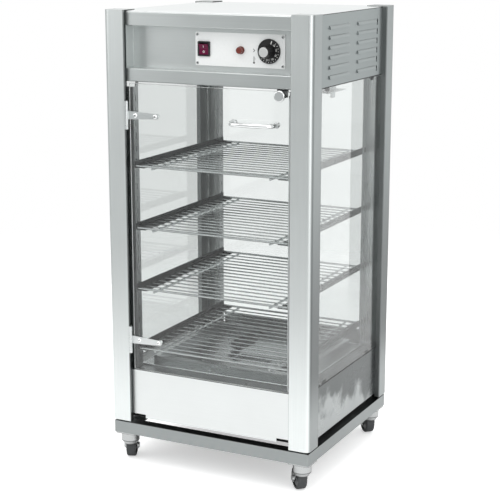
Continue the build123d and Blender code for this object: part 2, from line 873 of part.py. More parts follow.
def make_catch():
    with BuildPart() as strike:
        rod(Plane.XZ.offset(-y_glass), (x_strike, z_strike), strike_radius, strike_thickness)
        fillet(strike.edges().group_by(Axis.Y)[0], strike_edge_radius)
        rod(Plane.XZ.offset(-y_glass_back), (x_strike, z_strike), screw_radius, door_thickness)
        rod(Plane.XZ.offset(-(y_glass_back + strike_back_thickness)), (x_strike, z_strike),
            strike_back_radius, strike_back_thickness)
    save(strike, "strike_disc")
    y_catch = y_glass_back + strike_back_thickness + side_gap
    with BuildPart() as catch:
        slab((x_strike - catch_width / 2, x_strike + catch_width / 2), (y_catch, y_catch + catch_depth),
             (level(header_bottom) - catch_height, level(header_bottom)))
        fillet(catch.edges().filter_by(Axis.Z), bend_radius)
    save(catch, "magnetic_catch")


# Shelf uprights: slotted angles in the four corners, with a foot on the sill and a tab to the ceiling
def make_uprights():
    x_outer = half - upright_margin
    x_inner = x_outer - upright_width
    z_foot = level(sill_top)
    z_top = level(header_bottom - upright_top_gap)
    with BuildPart() as uprights:
        for side in (-1, 1):
            for place in (front, back):
                full_span = (side * x_inner, side * x_outer)
                side_span = (side * x_inner, side * (x_inner + sheet))
                y_start = place(upright_setback)
                slab(full_span, (y_start, place(upright_setback + sheet)), (z_foot, z_top))
                slab(side_span, (y_start, place(upright_setback + upright_depth)), (z_foot, z_top))
                slab(full_span, (y_start, place(upright_setback + upright_foot_depth)),
                     (z_foot, z_foot + sheet))
                tab_end = upright_setback + upright_depth
                slab(side_span, (place(tab_end - upright_tab_width), place(tab_end)),
                     (z_top, level(ceiling_bottom)))
                y_slot = upright_setback + hook_margin
                for step in range(slot_count):
                    z_slot = level(slot_first + slot_pitch * step)
                    slab(side_span, (place(y_slot), place(y_slot + slot_width)),
                         (z_slot, z_slot + slot_height), mode=Mode.SUBTRACT)
    save(uprights, "shelf_uprights")


# Shelf rails: angles hooked into the slots of the uprights. The top of a rail's flange carries a shelf.
x_rail = half - upright_margin - upright_width


def make_shelf_rails():
    y_ends = (front(shelf_end_margin - border_radius), back(shelf_end_margin - border_radius))
    y_slot = upright_setback + hook_margin
    for name, side in (("left_shelf_rails", -1), ("right_shelf_rails", 1)):
        with BuildPart() as rails:
            for height in shelf_levels:
                z_seat = level(height)
                x_web = side * (x_rail - sheet)
                slab((x_web, side * x_rail), y_ends, (z_seat - sheet, z_seat + rail_lip))
                slab((side * (x_rail - rail_flange), x_web), y_ends, (z_seat - sheet, z_seat))
                for place in (front, back):
                    hook = (place(y_slot + side_gap), place(y_slot + slot_width - side_gap))
                    z_hook = z_seat + rail_lip - hook_height
                    x_hook = side * (x_rail + sheet + side_gap)
                    slab((side * x_rail, side * (x_rail + hook_reach)), hook, (z_hook, z_seat + rail_lip))
                    slab((x_hook, side * (x_rail + hook_reach)), hook, (z_hook - hook_tail, z_hook))
        save(rails, name)


# Wire shelves: thin wires and two thicker borders lie on the rails, welded to two carriers below
def make_shelves():
    x_end = x_rail - sheet - 2 * side_gap
    y_first = front(shelf_end_margin)
    y_last = back(shelf_end_margin)
    spacing = (y_last - y_first) / (thin_wires + 1)
    x_carrier = x_rail - carrier_inset
    y_wires = [y_first + spacing * (wire + 1) for wire in range(thin_wires)]
    for number, height in enumerate(reversed(shelf_levels), start=1):
        z_seat = level(height)
        # The wires that lie across, then the two carriers, seated into them where they are welded
        with BuildPart() as across:
            with BuildSketch(Plane.YZ.offset(-x_end)):
                with Locations(*[(y, z_seat + wire_radius) for y in y_wires]):
                    Circle(wire_radius)
                with Locations((y_first, z_seat + border_radius), (y_last, z_seat + border_radius)):
                    Circle(border_radius)
            extrude(amount=2 * x_end)
        with BuildPart() as carriers:
            z_carrier = z_seat - carrier_radius + weld_depth
            with BuildSketch(Plane.XZ.offset(-(y_last + border_radius))):
                with Locations((-x_carrier, z_carrier), (x_carrier, z_carrier)):
                    Circle(carrier_radius)
            extrude(amount=y_last - y_first + 2 * border_radius)
            add(across.part, mode=Mode.SUBTRACT)
        save_group(across.part.solids() + carriers.part.solids(), f"shelf_{number}")


# Drip tray: a flange on the sill, a raised rim and a floor creased from the corners to a sump
def make_tray():
    x_half = half - tray_margin
    y_half = depth / 2 - tray_margin
    middle = (0, (y_front + y_back) / 2)
    z_sill = level(sill_top)
    z_flange = z_sill + tray_hem
    z_rim = z_flange + tray_rim_height
    z_floor = z_sill - tray_floor_drop + tray_sheet

    def ring(z, outer, inner, height, mode=Mode.ADD):
        with BuildSketch(Plane.XY.offset(z)) as band:
            with Locations(middle):
                Rectangle(2 * (x_half - outer), 2 * (y_half - outer))
                Rectangle(2 * (x_half - inner), 2 * (y_half - inner), mode=Mode.SUBTRACT)
        extrude(band.sketch, amount=height, mode=mode)

    rim_inner = tray_flange + tray_rim_width

    def basin(drop, mode):
        with BuildSketch(Plane.XY.offset(z_sill + tray_sheet - drop)) as upper:
            with Locations(middle):
                Rectangle(2 * (x_half - rim_inner), 2 * (y_half - rim_inner))
        with BuildSketch(Plane.XY.offset(z_floor - drop)) as lower:
            with Locations(middle):
                Rectangle(sump_length, sump_width)
        loft([upper.sketch.face(), lower.sketch.face()], mode=mode)

    with BuildPart() as tray:
        ring(z_flange - tray_sheet, 0, rim_inner, tray_sheet)
        ring(z_sill, 0, tray_sheet, tray_hem)
        ring(z_sill - tray_sheet, tray_flange, rim_inner, z_rim - z_sill + tray_sheet)
        basin(tray_sheet * 2, Mode.ADD)
        with BuildSketch(Plane.XY.offset(z_sill - tray_sheet)):
            with Locations(middle):
                Rectangle(2 * (x_half - rim_inner), 2 * (y_half - rim_inner))
        extrude(amount=tray_sheet * 2)
        with BuildSketch(Plane.XY.offset(z_floor - tray_sheet * 2 - sump_depth)):
            with Locations(middle):
                Rectangle(sump_length, sump_width)
        extrude(amount=sump_depth + tray_sheet * 2)
        basin(0, Mode.SUBTRACT)
        with BuildSketch(Plane.XY.offset(z_sill + tray_sheet)):
            with Locations(middle):
                Rectangle(2 * (x_half - rim_inner), 2 * (y_half - rim_inner))
        extrude(amount=z_rim - z_sill, mode=Mode.SUBTRACT)
        with BuildSketch(Plane.XY.offset(z_floor - tray_sheet - sump_depth)):
            with Locations(middle):
                Rectangle(sump_length - 2 * tray_sheet, sump_width - 2 * tray_sheet)
        extrude(amount=sump_depth + tray_sheet * 2, mode=Mode.SUBTRACT)
        ring(z_sill - tray_sheet, tray_flange + tray_sheet, rim_inner - tray_sheet, z_rim - z_sill,
             Mode.SUBTRACT)
    save(tray, "drip_tray")


# Label plate and its four screws
def make_label():
    with BuildPart() as plate:
        with BuildSketch(Plane.XZ.offset(-y_control)):
            with Locations((x_label, z_control)):
                RectangleRounded(label_width, label_height, bend_radius)
        extrude(amount=label_thickness)
        cut_control_holes(y_label, label_thickness)
    save(plate, "label_plate")
    with BuildPart() as screws:
        with BuildSketch(Plane.XZ.offset(-y_label)):
            with Locations((x_label, z_control)):
                with GridLocations(label_screws_x, label_screws_z, 2, 2):
                    Circle(label_head_radius)
        extrude(amount=label_head_thickness)
        fillet(screws.edges().group_by(Axis.Y)[0], label_head_thickness / 2)
        with BuildSketch(Plane.XZ.offset(-(y_control + 2 * sheet))):
            with Locations((x_label, z_control)):
                with GridLocations(label_screws_x, label_screws_z, 2, 2):
                    Circle(label_screw_radius)
        extrude(amount=label_thickness + 2 * sheet)
    save(screws, "label_screws")


# Rocker switch: a bezel with a hollow body, and a rocker on two stub pins
y_bezel = y_label - bezel_thickness
y_pivot = y_bezel + rocker_pivot_depth


def make_switch():
    with BuildPart() as body:
        with BuildSketch(Plane.XZ.offset(-y_label)):
            with Locations((x_switch, z_control)):
                RectangleRounded(bezel_width, bezel_height, bend_radius)
        extrude(amount=bezel_thickness)
        with BuildSketch(Plane.XZ.offset(-(y_label + switch_body_depth))):
            with Locations((x_switch, z_control)):
                Rectangle(switch_outer_width, switch_outer_height)
        extrude(amount=switch_body_depth)
        with BuildSketch(Plane.XZ.offset(-(y_bezel + switch_cavity_depth))):
            with Locations((x_switch, z_control)):
                Rectangle(switch_cavity_width, switch_cavity_height)
        extrude(amount=switch_cavity_depth, mode=Mode.SUBTRACT)
        pin_hole = switch_cavity_width / 2 + rocker_pin_length
        rod(Plane.YZ.offset(x_switch - pin_hole), (y_pivot, z_control), rocker_pin_radius + running_gap,
            2 * pin_hole, Mode.SUBTRACT)
    save(body, "switch_body")
    rocker_half = switch_cavity_width / 2 - side_gap
    face = [
        (-rocker_valley, 0), (-rocker_face, rocker_half_height), (rocker_back, rocker_back_height),
        (rocker_back, -rocker_back_height), (-rocker_face, -rocker_half_height),
    ]
    with BuildPart() as rocker:
        with BuildSketch(Plane.YZ.offset(x_switch - rocker_half)):
            with Locations(Location((y_pivot, z_control), rocker_angle)):
                Polygon(*face, align=None)
        extrude(amount=2 * rocker_half)
        pin_half = rocker_half + rocker_pin_length
        rod(Plane.YZ.offset(x_switch - pin_half), (y_pivot, z_control), rocker_pin_radius, 2 * pin_half)
    save(rocker, "switch_rocker")


# Pilot lamp: a flange on the label, a lens in front and the lamp's body behind
def make_lamp():
    centre = (x_lamp, z_control)
    with BuildPart() as lamp:
        rod(Plane.XZ.offset(-y_label), centre, lamp_lens_radius, lamp_flange_thickness + lamp_lens_height)
        fillet(lamp.edges().group_by(Axis.Y)[0], lamp_lens_edge)
        rod(Plane.XZ.offset(-y_label), centre, lamp_flange_radius, lamp_flange_thickness)
        rod(Plane.XZ.offset(-(y_label + lamp_body_depth)), centre, lamp_body_radius, lamp_body_depth)
    save(lamp, "pilot_lamp")


# Thermostat and its knob. The knob's skirt carries the numbers and its shaft runs in the bushing.
y_skirt = y_label - dial_gap
y_grip = y_skirt - dial_thickness - grip_height
y_shaft_end = y_control + shaft_depth


def make_thermostat():
    centre = (x_dial, z_control)
    with BuildPart() as knob:
        rod(Plane.XZ.offset(-y_skirt), centre, dial_radius, dial_thickness)
        fillet(knob.edges().group_by(Axis.Y)[0], dial_edge)
        with BuildSketch(Plane.XZ.offset(-(y_skirt - dial_thickness))):
            with Locations(centre):
                Circle(grip_radius)
        with BuildSketch(Plane.XZ.offset(-y_grip)):
            with Locations(centre):
                Circle(grip_tip_radius)
        loft()
        rod(Plane.XZ.offset(-(y_grip + cap_pocket_depth)), centre, cap_radius, cap_pocket_depth,
            Mode.SUBTRACT)
        rod(Plane.XZ.offset(-y_shaft_end), centre, shaft_radius, y_shaft_end - y_skirt)
    save(knob, "dial_knob")
    with BuildPart() as cap:
        rod(Plane.XZ.offset(-(y_grip + cap_pocket_depth)), centre, cap_radius, cap_thickness)
        fillet(cap.edges().group_by(Axis.Y)[0], cap_edge)
    save(cap, "dial_cap")
    y_body = y_control + sheet
    with BuildPart() as body:
        with BuildSketch(Plane.XZ.offset(-(y_body + thermostat_depth))):
            with Locations(centre):
                RectangleRounded(thermostat_size, thermostat_size, bend_radius)
        extrude(amount=thermostat_depth)
        rod(Plane.XZ.offset(-y_body), centre, bushing_radius, y_body - y_label)
        bore_end = y_shaft_end + dial_gap
        rod(Plane.XZ.offset(-bore_end), centre, shaft_radius + running_gap, bore_end - y_label,
            Mode.SUBTRACT)
    save(body, "thermostat_body")


# Temperature probe: a bracket plate hung from the ceiling, the probe below it and its capillary above
def make_probe():
    x_probe = half - probe_margin
    y_start = front(probe_plate_start)
    z_ceiling = level(ceiling_bottom)
    z_plate = z_ceiling - probe_drop
    x_hanger = x_probe - probe_plate_width / 2
    with BuildPart() as probe:
        slab((x_hanger, x_probe + probe_plate_width / 2), (y_start, y_start + probe_plate_length),
             (z_plate - sheet, z_plate))
        slab((x_hanger, x_hanger + sheet), (y_start, y_start + probe_plate_length),
             (z_plate - sheet, z_ceiling))
        centre = (x_probe, y_start + probe_position)
        rod(Plane.XY.offset(z_plate - sheet - probe_length), centre, probe_radius, probe_length)
        fillet(probe.edges().group_by(Axis.Z)[0], sheet)
        rod(Plane.XY.offset(z_plate), centre, capillary_radius, probe_drop + capillary_rise)
    save(probe, "temperature_probe")


# Tubular heater: one tube bent into parallel runs, on two saddles that stand on the base plate
def make_heater():
    z_tube = level(heater_level)
    z_base = level(lower_gap) + 2 * sheet
    y_middle = (y_front + y_back) / 2
    run_pitch = 2 * heater_bend
    y_runs = [y_middle + run_pitch * (run - (heater_runs - 1) / 2) for run in range(heater_runs)]
    points = []
    for run, y in enumerate(y_runs):
        ends = (-heater_length / 2, heater_length / 2)
        if run % 2 == 1:
            ends = ends[::-1]
        points += [(ends[0], y), (ends[1], y)]
    with BuildPart() as heater:
        with BuildLine(Plane.XY.offset(z_tube)) as path:
            FilletPolyline(*points, radius=heater_bend - heater_bend_relief)
        with BuildSketch(Plane(origin=path.line @ 0, z_dir=path.line % 0)):
            Circle(heater_radius)
        sweep(path=path.line)
        for x in (-heater_leg_pitch / 2, heater_leg_pitch / 2):
            slab((x - sheet, x + sheet),
                 (y_runs[0] - heater_leg_width, y_runs[-1] + heater_leg_width), (z_base, z_tube))
    save(heater, "heater_element")


# Cable gland: a body through the back panel, a hexagon and a domed nut outside, a lock nut inside
def make_gland():
    centre = (x_gland, z_gland)
    y_face = back(recess)
    y_end = y_face + gland_length
    y_tail = y_face - sheet - gland_tail
    with BuildPart() as gland:
        rod(Plane.XZ.offset(-y_end), centre, gland_dome_radius, gland_length)
        fillet(gland.edges().group_by(Axis.Y)[-1], gland_dome_edge)
        rod(Plane.XZ.offset(-y_face), centre, gland_body_radius, y_face - y_tail)
        with BuildSketch(Plane.XZ.offset(-(y_face + gland_hex_length))):
            with Locations(centre):
                RegularPolygon(gland_hex_radius, 6)
        extrude(amount=gland_hex_length)
        with BuildSketch(Plane.XZ.offset(-(y_face - sheet))):
            with Locations(centre):
                RegularPolygon(gland_hex_radius, 6)
        extrude(amount=gland_nut_thickness)
        rod(Plane.XZ.offset(-y_end), centre, gland_bore_radius, y_end - y_tail, Mode.SUBTRACT)
    save(gland, "cable_gland")


make_posts()
make_top_cover()
make_front_rails()
make_control_panel()
make_top_sides()
make_ceiling()
make_top_back()
make_lower_box()
make_underframe()
make_casters()
make_panes()
make_door_glass()
make_hinges()
make_door_screws()
make_handle()
make_catch()
make_uprights()
make_shelf_rails()
make_shelves()
make_tray()
make_label()
make_switch()
make_lamp()
make_thermostat()
make_probe()
make_heater()
make_gland()
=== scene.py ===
import bpy
import numpy as np
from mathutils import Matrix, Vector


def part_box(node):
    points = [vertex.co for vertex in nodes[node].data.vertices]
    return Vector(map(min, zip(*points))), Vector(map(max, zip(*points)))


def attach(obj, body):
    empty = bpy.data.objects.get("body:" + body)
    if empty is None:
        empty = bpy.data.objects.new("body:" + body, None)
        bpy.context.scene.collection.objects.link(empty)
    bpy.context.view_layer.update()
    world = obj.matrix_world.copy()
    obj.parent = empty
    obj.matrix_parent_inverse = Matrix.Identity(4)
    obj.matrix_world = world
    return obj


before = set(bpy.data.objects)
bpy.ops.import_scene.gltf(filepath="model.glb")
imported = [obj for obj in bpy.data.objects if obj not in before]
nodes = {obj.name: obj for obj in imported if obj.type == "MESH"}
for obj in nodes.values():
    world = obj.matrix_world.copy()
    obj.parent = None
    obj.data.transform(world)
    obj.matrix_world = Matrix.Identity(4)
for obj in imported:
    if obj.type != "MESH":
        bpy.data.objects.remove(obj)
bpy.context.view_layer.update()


# The studio: a plain white floor that fades into a pale room, and a camera that stands a little
# right of the case and looks down on it. What the camera sees straight or through glass is
# white; the steel mirrors a greyer room with a bright ceiling.
def shader(tree, kind, inputs=(), **settings):
    """Adds a shader node, sets its options, then gives each input a value or a link."""
    made = tree.nodes.new(kind if kind.startswith("NodeGroup") else "ShaderNode" + kind)
    for option, value in settings.items():
        setattr(made, option, value)
    for socket, value in dict(inputs).items():
        if isinstance(value, bpy.types.NodeSocket):
            tree.links.new(value, made.inputs[socket])
        else:
            made.inputs[socket].default_value = value
    return made


def maths(tree, operation, *values):
    """One Math node on one, two or three values or sockets, giving its result."""
    return shader(tree, "Math", enumerate(values), operation=operation).outputs[0]


def ramp(tree, value, low, high, start=0.0, end=1.0):
    """A smooth step: start where the value is at low, end where it is at high."""
    made = shader(tree, "MapRange", {
        "Value": value, "From Min": low, "From Max": high, "To Min": start, "To Max": end,
    }, interpolation_type="SMOOTHSTEP")
    return made.outputs["Result"]


def blend_of(tree, factor, first, second):
    """Mixes two colours, each an RGB value or a socket, by a factor from 0 to 1."""
    made = shader(tree, "Mix", data_type="RGBA")
    colours = [s for s in made.inputs if s.type == "RGBA"]
    tree.links.new(factor, made.inputs[0])
    for colour, socket in zip((first, second), colours):
        if isinstance(colour, bpy.types.NodeSocket):
            tree.links.new(colour, socket)
        else:
            socket.default_value = (*colour, 1.0)
    return next(s for s in made.outputs if s.type == "RGBA")


def length_of(tree, vector):
    """The length of a vector, which is how far a place is from the origin."""
    return shader(tree, "VectorMath", {0: vector}, operation="LENGTH").outputs["Value"]


def put_in_scene(name, data):
    """A new object at the origin that carries a mesh, a lamp or a camera."""
    made = bpy.data.objects.new(name, data)
    bpy.context.scene.collection.objects.link(made)
    return made


def circle(count):
    """Points evenly round a circle of radius 1: the cosine and the sine of each angle."""
    turn = np.linspace(0.0, 2.0 * np.pi, count, endpoint=False)
    return np.stack([np.cos(turn), np.sin(turn)], 1)


looks_down, looks_left = 13.04, 26.67
camera_data = bpy.data.cameras.new("camera")
camera_data.lens = 98.9
camera_data.sensor_width = 36.0
camera_data.clip_end = 100.0
camera = put_in_scene("camera", camera_data)
camera.location = (1.3372, -2.674, 1.1575)
camera.rotation_euler = np.radians((90.0 - looks_down, 0.0, looks_left))
bpy.context.scene.camera = camera
bpy.context.scene.view_settings.view_transform = "Standard"

front_wall, rear_wall, ceiling_white = (0.47, 0.49, 0.49), (0.60, 0.62, 0.62), (1.0, 1.0, 1.0)
front_to_rear, wall_to_ceiling = (-0.6, 0.5), (0.05, 0.35)
room = bpy.data.worlds.new("room")
bpy.context.scene.world = room
room.use_nodes = True
tree = room.node_tree
tree.nodes.clear()
way = shader(tree, "SeparateXYZ", {0: shader(tree, "TexCoord").outputs["Generated"]}).outputs
walls = blend_of(tree, ramp(tree, way["Y"], *front_to_rear), front_wall, rear_wall)
mirrored = blend_of(tree, ramp(tree, way["Z"], *wall_to_ceiling), walls, ceiling_white)
mirrored_room = shader(tree, "Background", {"Color": mirrored})
plain_white = shader(tree, "Background", {"Color": (1.0, 1.0, 1.0, 1.0)})
ray = shader(tree, "LightPath").outputs
seen_straight = maths(tree, "MAXIMUM", ray["Is Camera Ray"], ray["Is Transmission Ray"])
choice = shader(tree, "MixShader", {
    0: seen_straight, 1: mirrored_room.outputs[0], 2: plain_white.outputs[0]})
shader(tree, "OutputWorld", {"Surface": choice.outputs[0]})

floor_reach, floor_sides = 3.2, 96
fade_start, fade_end = 0.9, 2.6
floor_glow = 0.44
floor_points = floor_reach * np.insert(circle(floor_sides), 2, 0.0, axis=1)
floor_mesh = bpy.data.meshes.new("floor")
floor_mesh.from_pydata(floor_points.tolist(), [], [list(range(floor_sides))])
floor = put_in_scene("floor", floor_mesh)
floor_paint = bpy.data.materials.new("floor_paint")
floor_paint.use_nodes = True
tree = floor_paint.node_tree
tree.nodes.clear()
far = length_of(tree, shader(tree, "TexCoord").outputs["Object"])
to_camera = shader(tree, "LightPath").outputs["Is Camera Ray"]
paint = shader(tree, "BsdfPrincipled", {
    "Base Color": (0.90, 0.905, 0.905, 1.0), "Roughness": 0.9, "Specular IOR Level": 0.1,
    "Emission Color": (1.0, 1.0, 1.0, 1.0),
    "Emission Strength": maths(tree, "MULTIPLY", to_camera, floor_glow),
})
clear = shader(tree, "BsdfTransparent")
choice = shader(tree, "MixShader", {
    0: ramp(tree, far, fade_start, fade_end), 1: paint.outputs[0], 2: clear.outputs[0]})
shader(tree, "OutputMaterial", {"Surface": choice.outputs[0]})
floor_mesh.materials.append(floor_paint)

# Soft boxes: a wide one overhead, one right of the camera that lights the rounded post, a weak
# one on the left, and a tall one behind on the right that the sides mirror towards their front.
for name, spot, aim, size, power in (
    ("lamp_over", (0.1, -0.7, 2.7), (0.0, 0.0, 0.3), (2.2, 2.2), 21.0),
    ("lamp_right", (2.3, -1.6, 1.2), (0.0, 0.0, 0.6), (1.7, 2.4), 22.0),
    ("lamp_left", (-2.4, -2.2, 1.4), (0.0, 0.0, 0.5), (1.4, 1.8), 12.0),
    ("lamp_rear", (1.25, 1.45, 0.5), (0.24, -0.2, 0.5), (0.8, 2.6), 6.5),
):
    lamp_data = bpy.data.lights.new(name, "AREA")
    lamp_data.shape = "RECTANGLE"
    lamp_data.size, lamp_data.size_y = size
    lamp_data.energy = power
    lamp = put_in_scene(name, lamp_data)
    lamp.location = spot
    right, back, up = np.subtract(aim, spot)
    lamp.rotation_euler = (np.arctan2(np.hypot(right, back), -up), 0.0, np.arctan2(-right, back))


# Corner posts: folded from brushed stainless sheet, the grain running up and down. The free
# edges of their lips turn in towards the case; their colour carries painted shade, nearly black
# where they meet the case, and the faces carry painted light and shade by height.
def object_place(tree):
    """Object coordinates as a vector and as their X, Y and Z, in metres."""
    place = shader(tree, "TexCoord").outputs["Object"]
    return place, shader(tree, "SeparateXYZ", {0: place}).outputs


def noise(tree, place, scale, detail):
    """Cloudy noise from 0 to 1, with about scale patches in a metre of the place."""
    made = shader(tree, "TexNoise", {"Vector": place, "Scale": scale, "Detail": detail})
    return made.outputs["Fac"]


def distance(tree, value, middle):
    """How far a value is from a middle, to either side."""
    return maths(tree, "ABSOLUTE", maths(tree, "SUBTRACT", value, middle))


def scaled(tree, colour, share):
    """A colour made brighter or darker, to a share of itself."""
    return shader(tree, "VectorMath", {0: colour, "Scale": share}, operation="SCALE").outputs[0]


def new_group(name, sockets):
    """A shader node group with sockets in rows of side, kind and names, and what it takes in."""
    group = bpy.data.node_groups.new(name, "ShaderNodeTree")
    for side, kind, words in sockets:
        for word in words:
            group.interface.new_socket(word, in_out=side, socket_type="NodeSocket" + kind)
    return group, shader(group, "NodeGroupInput").outputs


def brushed_grain():
    """Streaks along the grain and cloudy smears. The fine and the cloudy noise, each less one
    half and times its strength, are added to 1 for the tone and to the dullness for the
    roughness. The fine noise is also the height of the relief."""
    group, into = new_group("brushed_grain", (
        ("INPUT", "Vector", ("Grain Place", "Place")),
        ("INPUT", "Color", ("Steel",)),
        ("INPUT", "Float", ("Streaks", "Smears", "Dullness", "Relief")),
        ("OUTPUT", "Color", ("Color",)),
        ("OUTPUT", "Float", ("Roughness",)),
        ("OUTPUT", "Vector", ("Normal",)),
    ))
    fine = noise(group, into["Grain Place"], 1.0, 4.0)
    streak = maths(group, "SUBTRACT", fine, 0.5)
    smear = maths(group, "SUBTRACT", noise(group, into["Place"], 9.0, 3.0), 0.5)
    tone = maths(group, "MULTIPLY_ADD", smear, into["Smears"], 1.0)
    tone = maths(group, "MULTIPLY_ADD", streak, into["Streaks"], tone)
    rough = maths(group, "MULTIPLY_ADD", streak, into["Streaks"], into["Dullness"])
    rough = maths(group, "MULTIPLY_ADD", smear, into["Smears"], rough)
    relief = shader(group, "Bump", {
        "Distance": 0.0004, "Strength": into["Relief"], "Height": fine})
    shader(group, "NodeGroupOutput", {
        "Color": scaled(group, into["Steel"], tone), "Roughness": rough,
        "Normal": relief.outputs[0]})
    return group


grain_group = brushed_grain()


def new_finish(name):
    """A new material, with its node tree and its main shader."""
    material = bpy.data.materials.new(name)
    material.use_nodes = True
    return material, material.node_tree, material.node_tree.nodes["Principled BSDF"]


def finish_from(tree, main, pattern, colour):
    """Links a colour, and a pattern's roughness and normal, to a material's main shader."""
    tree.links.new(colour, main.inputs["Base Color"])
    tree.links.new(pattern.outputs["Roughness"], main.inputs["Roughness"])
    tree.links.new(pattern.outputs["Normal"], main.inputs["Normal"])


def brushed(name, steel, grain, streaks=0.10, smears=0.06, dullness=0.30, relief=0.15,
            metallic=1.0, marks=None):
    """A brushed metal. grain gives how finely the streaks lie along X, Y and Z, per metre. marks
    takes the tree, the place, its axes and the steel's colour, and gives the colour with marks."""
    material, tree, metal = new_finish(name)
    metal.inputs["Metallic"].default_value = metallic
    place, axes = object_place(tree)
    grain_place = shader(tree, "Mapping", {"Vector": place, "Scale": grain}).outputs[0]
    pattern = shader(tree, "Group", {
        "Grain Place": grain_place, "Place": place, "Steel": (*steel, 1.0),
        "Streaks": streaks, "Smears": smears, "Dullness": dullness, "Relief": relief,
    }, node_tree=grain_group)
    colour = pattern.outputs["Color"]
    if marks:
        colour = marks(tree, place, axes, colour)
    finish_from(tree, metal, pattern, colour)
    return material


def wear(material, *names):
    """Gives CAD nodes their material."""
    for name in names:
        mesh = nodes[name].data
        mesh.materials.clear()
        mesh.materials.append(material)


case_middle_y = 0.005
flange_lip_end, lip_meets_case = (0.1926, 0.1934), (0.2165, 0.2180)
side_lip_end, closed_top = (0.1752, 0.1785), (0.9970, 0.9980)
outer_face, rear_posts = (0.2360, 0.2396), (0.150, 0.170)
# Painted light and shade on the posts' faces: brighter near the floor, darker up the outer sides.
floor_reflection_reach, foot_to_sill, sill_to_head = (0.12, 0.45), (0.14, 0.28), (0.34, 0.80)
foot_shade_tone, sill_shade_tone, head_shade_tone = (0.40, 0.42, 0.42), (0.18, 0.19, 0.19), (0.34, 0.36, 0.36)


def painted_post_shade(tree, place, axes, colour):
    """Painted shade on each lip: darkens where |x| is under 193 mm on a front or rear flange,
    most (a painted shadow) where the lip meets the case, |y - 5 mm| under 217 mm, and where
    |y - 5 mm| is under 177 mm on a side flange, below the closed top. The front is painted
    brighter near the floor, a painted reflection of it; the outer sides are painted duller and
    dullest just above the sill, and the rear posts dull all over, both as painted shade."""
    out_x = maths(tree, "ABSOLUTE", axes["X"])
    out_y = distance(tree, axes["Y"], case_middle_y)
    flange_lip = ramp(tree, out_x, *flange_lip_end, 1.0, 0.0)
    lip_shadow = maths(tree, "MULTIPLY", flange_lip, ramp(tree, out_y, *lip_meets_case, 1.0, 0.0))
    side_lip = ramp(tree, out_y, *side_lip_end, 1.0, 0.0)
    side_lip = maths(tree, "MULTIPLY", side_lip, ramp(tree, axes["Z"], *closed_top, 1.0, 0.0))
    colour = scaled(tree, colour, ramp(tree, axes["Z"], *floor_reflection_reach, 1.28, 1.0))
    rear = ramp(tree, axes["Y"], *rear_posts, 0.0, 0.62)
    colour = blend_of(tree, rear, colour, (0.26, 0.27, 0.27))
    outer = blend_of(tree, ramp(tree, axes["Z"], *foot_to_sill), foot_shade_tone, sill_shade_tone)
    outer = blend_of(tree, ramp(tree, axes["Z"], *sill_to_head), outer, head_shade_tone)
    colour = blend_of(tree, ramp(tree, out_x, *outer_face), colour, outer)
    colour = blend_of(tree, side_lip, colour, (0.20, 0.21, 0.21))
    colour = blend_of(tree, flange_lip, colour, (0.24, 0.25, 0.25))
    return blend_of(tree, lip_shadow, colour, (0.040, 0.045, 0.045))


post_steel = brushed("post_steel", (0.67, 0.695, 0.69), (700.0, 700.0, 6.0),
                     streaks=0.10, smears=0.06, dullness=0.40, marks=painted_post_shade)
wear(post_steel, "post_front_left", "post_front_right", "post_rear_left", "post_rear_right")


# Top box: a flat cover, two folded rails across the front, a set-back control panel and flanged
# sides with pressed louvres, all of brushed stainless sheet, in tones of painted light and shade:
# the cover near white as a painted highlight, the sides and the back darker as painted shade. A
# black bead, painted shade for the gap at the cover's edge, fills the ledge between the cover and
# each side, and a gland of black nylon is nutted to the back.
def placed(name, points, faces, material, body):
    """A mesh of the points and faces, in one material, that rides on a body."""
    mesh = bpy.data.meshes.new(name)
    mesh.from_pydata(points.tolist(), [], faces)
    mesh.materials.append(material)
    piece = put_in_scene(name, mesh)
    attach(piece, body)


def surface(name, grids, material, body, closed=False):
    """A mesh of one or more grids of rings. Each ring is closed; the rings are joined in a loop,
    or capped at both ends. A grid's faces are turned over where its volume is negative."""
    points, faces, start = [], [], 0
    for grid in grids:
        rings, count = grid.shape[:2]
        index = np.arange(rings * count).reshape(rings, count)
        beside = np.roll(index, -1, 1)
        here = slice(None) if closed else slice(0, -1)
        corners = (index, beside, np.roll(beside, -1, 0), np.roll(index, -1, 0))
        quads = np.stack([corner[here] for corner in corners], -1).reshape(-1, 4)
        ends = [] if closed else [index[0][::-1], index[-1]]
        fans = [np.stack([np.full(count - 2, end[0]), end[1:-1], end[2:]], 1) for end in ends]
        flat = grid.reshape(-1, 3)
        tris = flat[np.vstack([quads[:, :3], quads[:, [0, 2, 3]], *fans])] - flat.mean(0)
        volume = np.einsum("ij,ij->", tris[:, 0], np.cross(tris[:, 1], tris[:, 2]))
        step = -1 if volume < 0 else 1
        faces += [(face[::step] + start).tolist() for face in [*quads, *ends]]
        points.append(flat)
        start += len(flat)
    placed(name, np.vstack(points), faces, material, body)


def carried(path, profile, closed=False):
    """A profile carried along a level path: point = path + a * aside + b * up, where (a, b) goes
    round the profile and aside is level and square to the path, stretched at a bend by one over
    the cosine of half its angle."""
    after = np.roll(path, -1, 0) - path
    before = path - np.roll(path, 1, 0)
    if not closed:
        after[-1], before[0] = before[-1], after[0]
    after, before = (v / np.linalg.norm(v, axis=1, keepdims=True) for v in (after, before))
    run = after + before
    run /= np.linalg.norm(run, axis=1, keepdims=True)
    aside = np.stack([run[:, 1], -run[:, 0], 0 * run[:, 0]], 1)
    aside /= np.einsum("ij,ij->i", run, after)[:, None]
    up = np.array([0.0, 0.0, 1.0])
    return path[:, None] + profile[None, :, :1] * aside[:, None] + profile[None, :, 1:] * up


def half_circle(count):
    """Points evenly along the upper half of a circle of radius 1, both its ends included."""
    turn = np.linspace(0.0, np.pi, count)
    return np.stack([np.cos(turn), np.sin(turn)], 1)


def level_line(start, end, z):
    """Seven points evenly along a straight line from start to end, each (x, y), at a level."""
    return np.linspace((*start, z), (*end, z), 7)


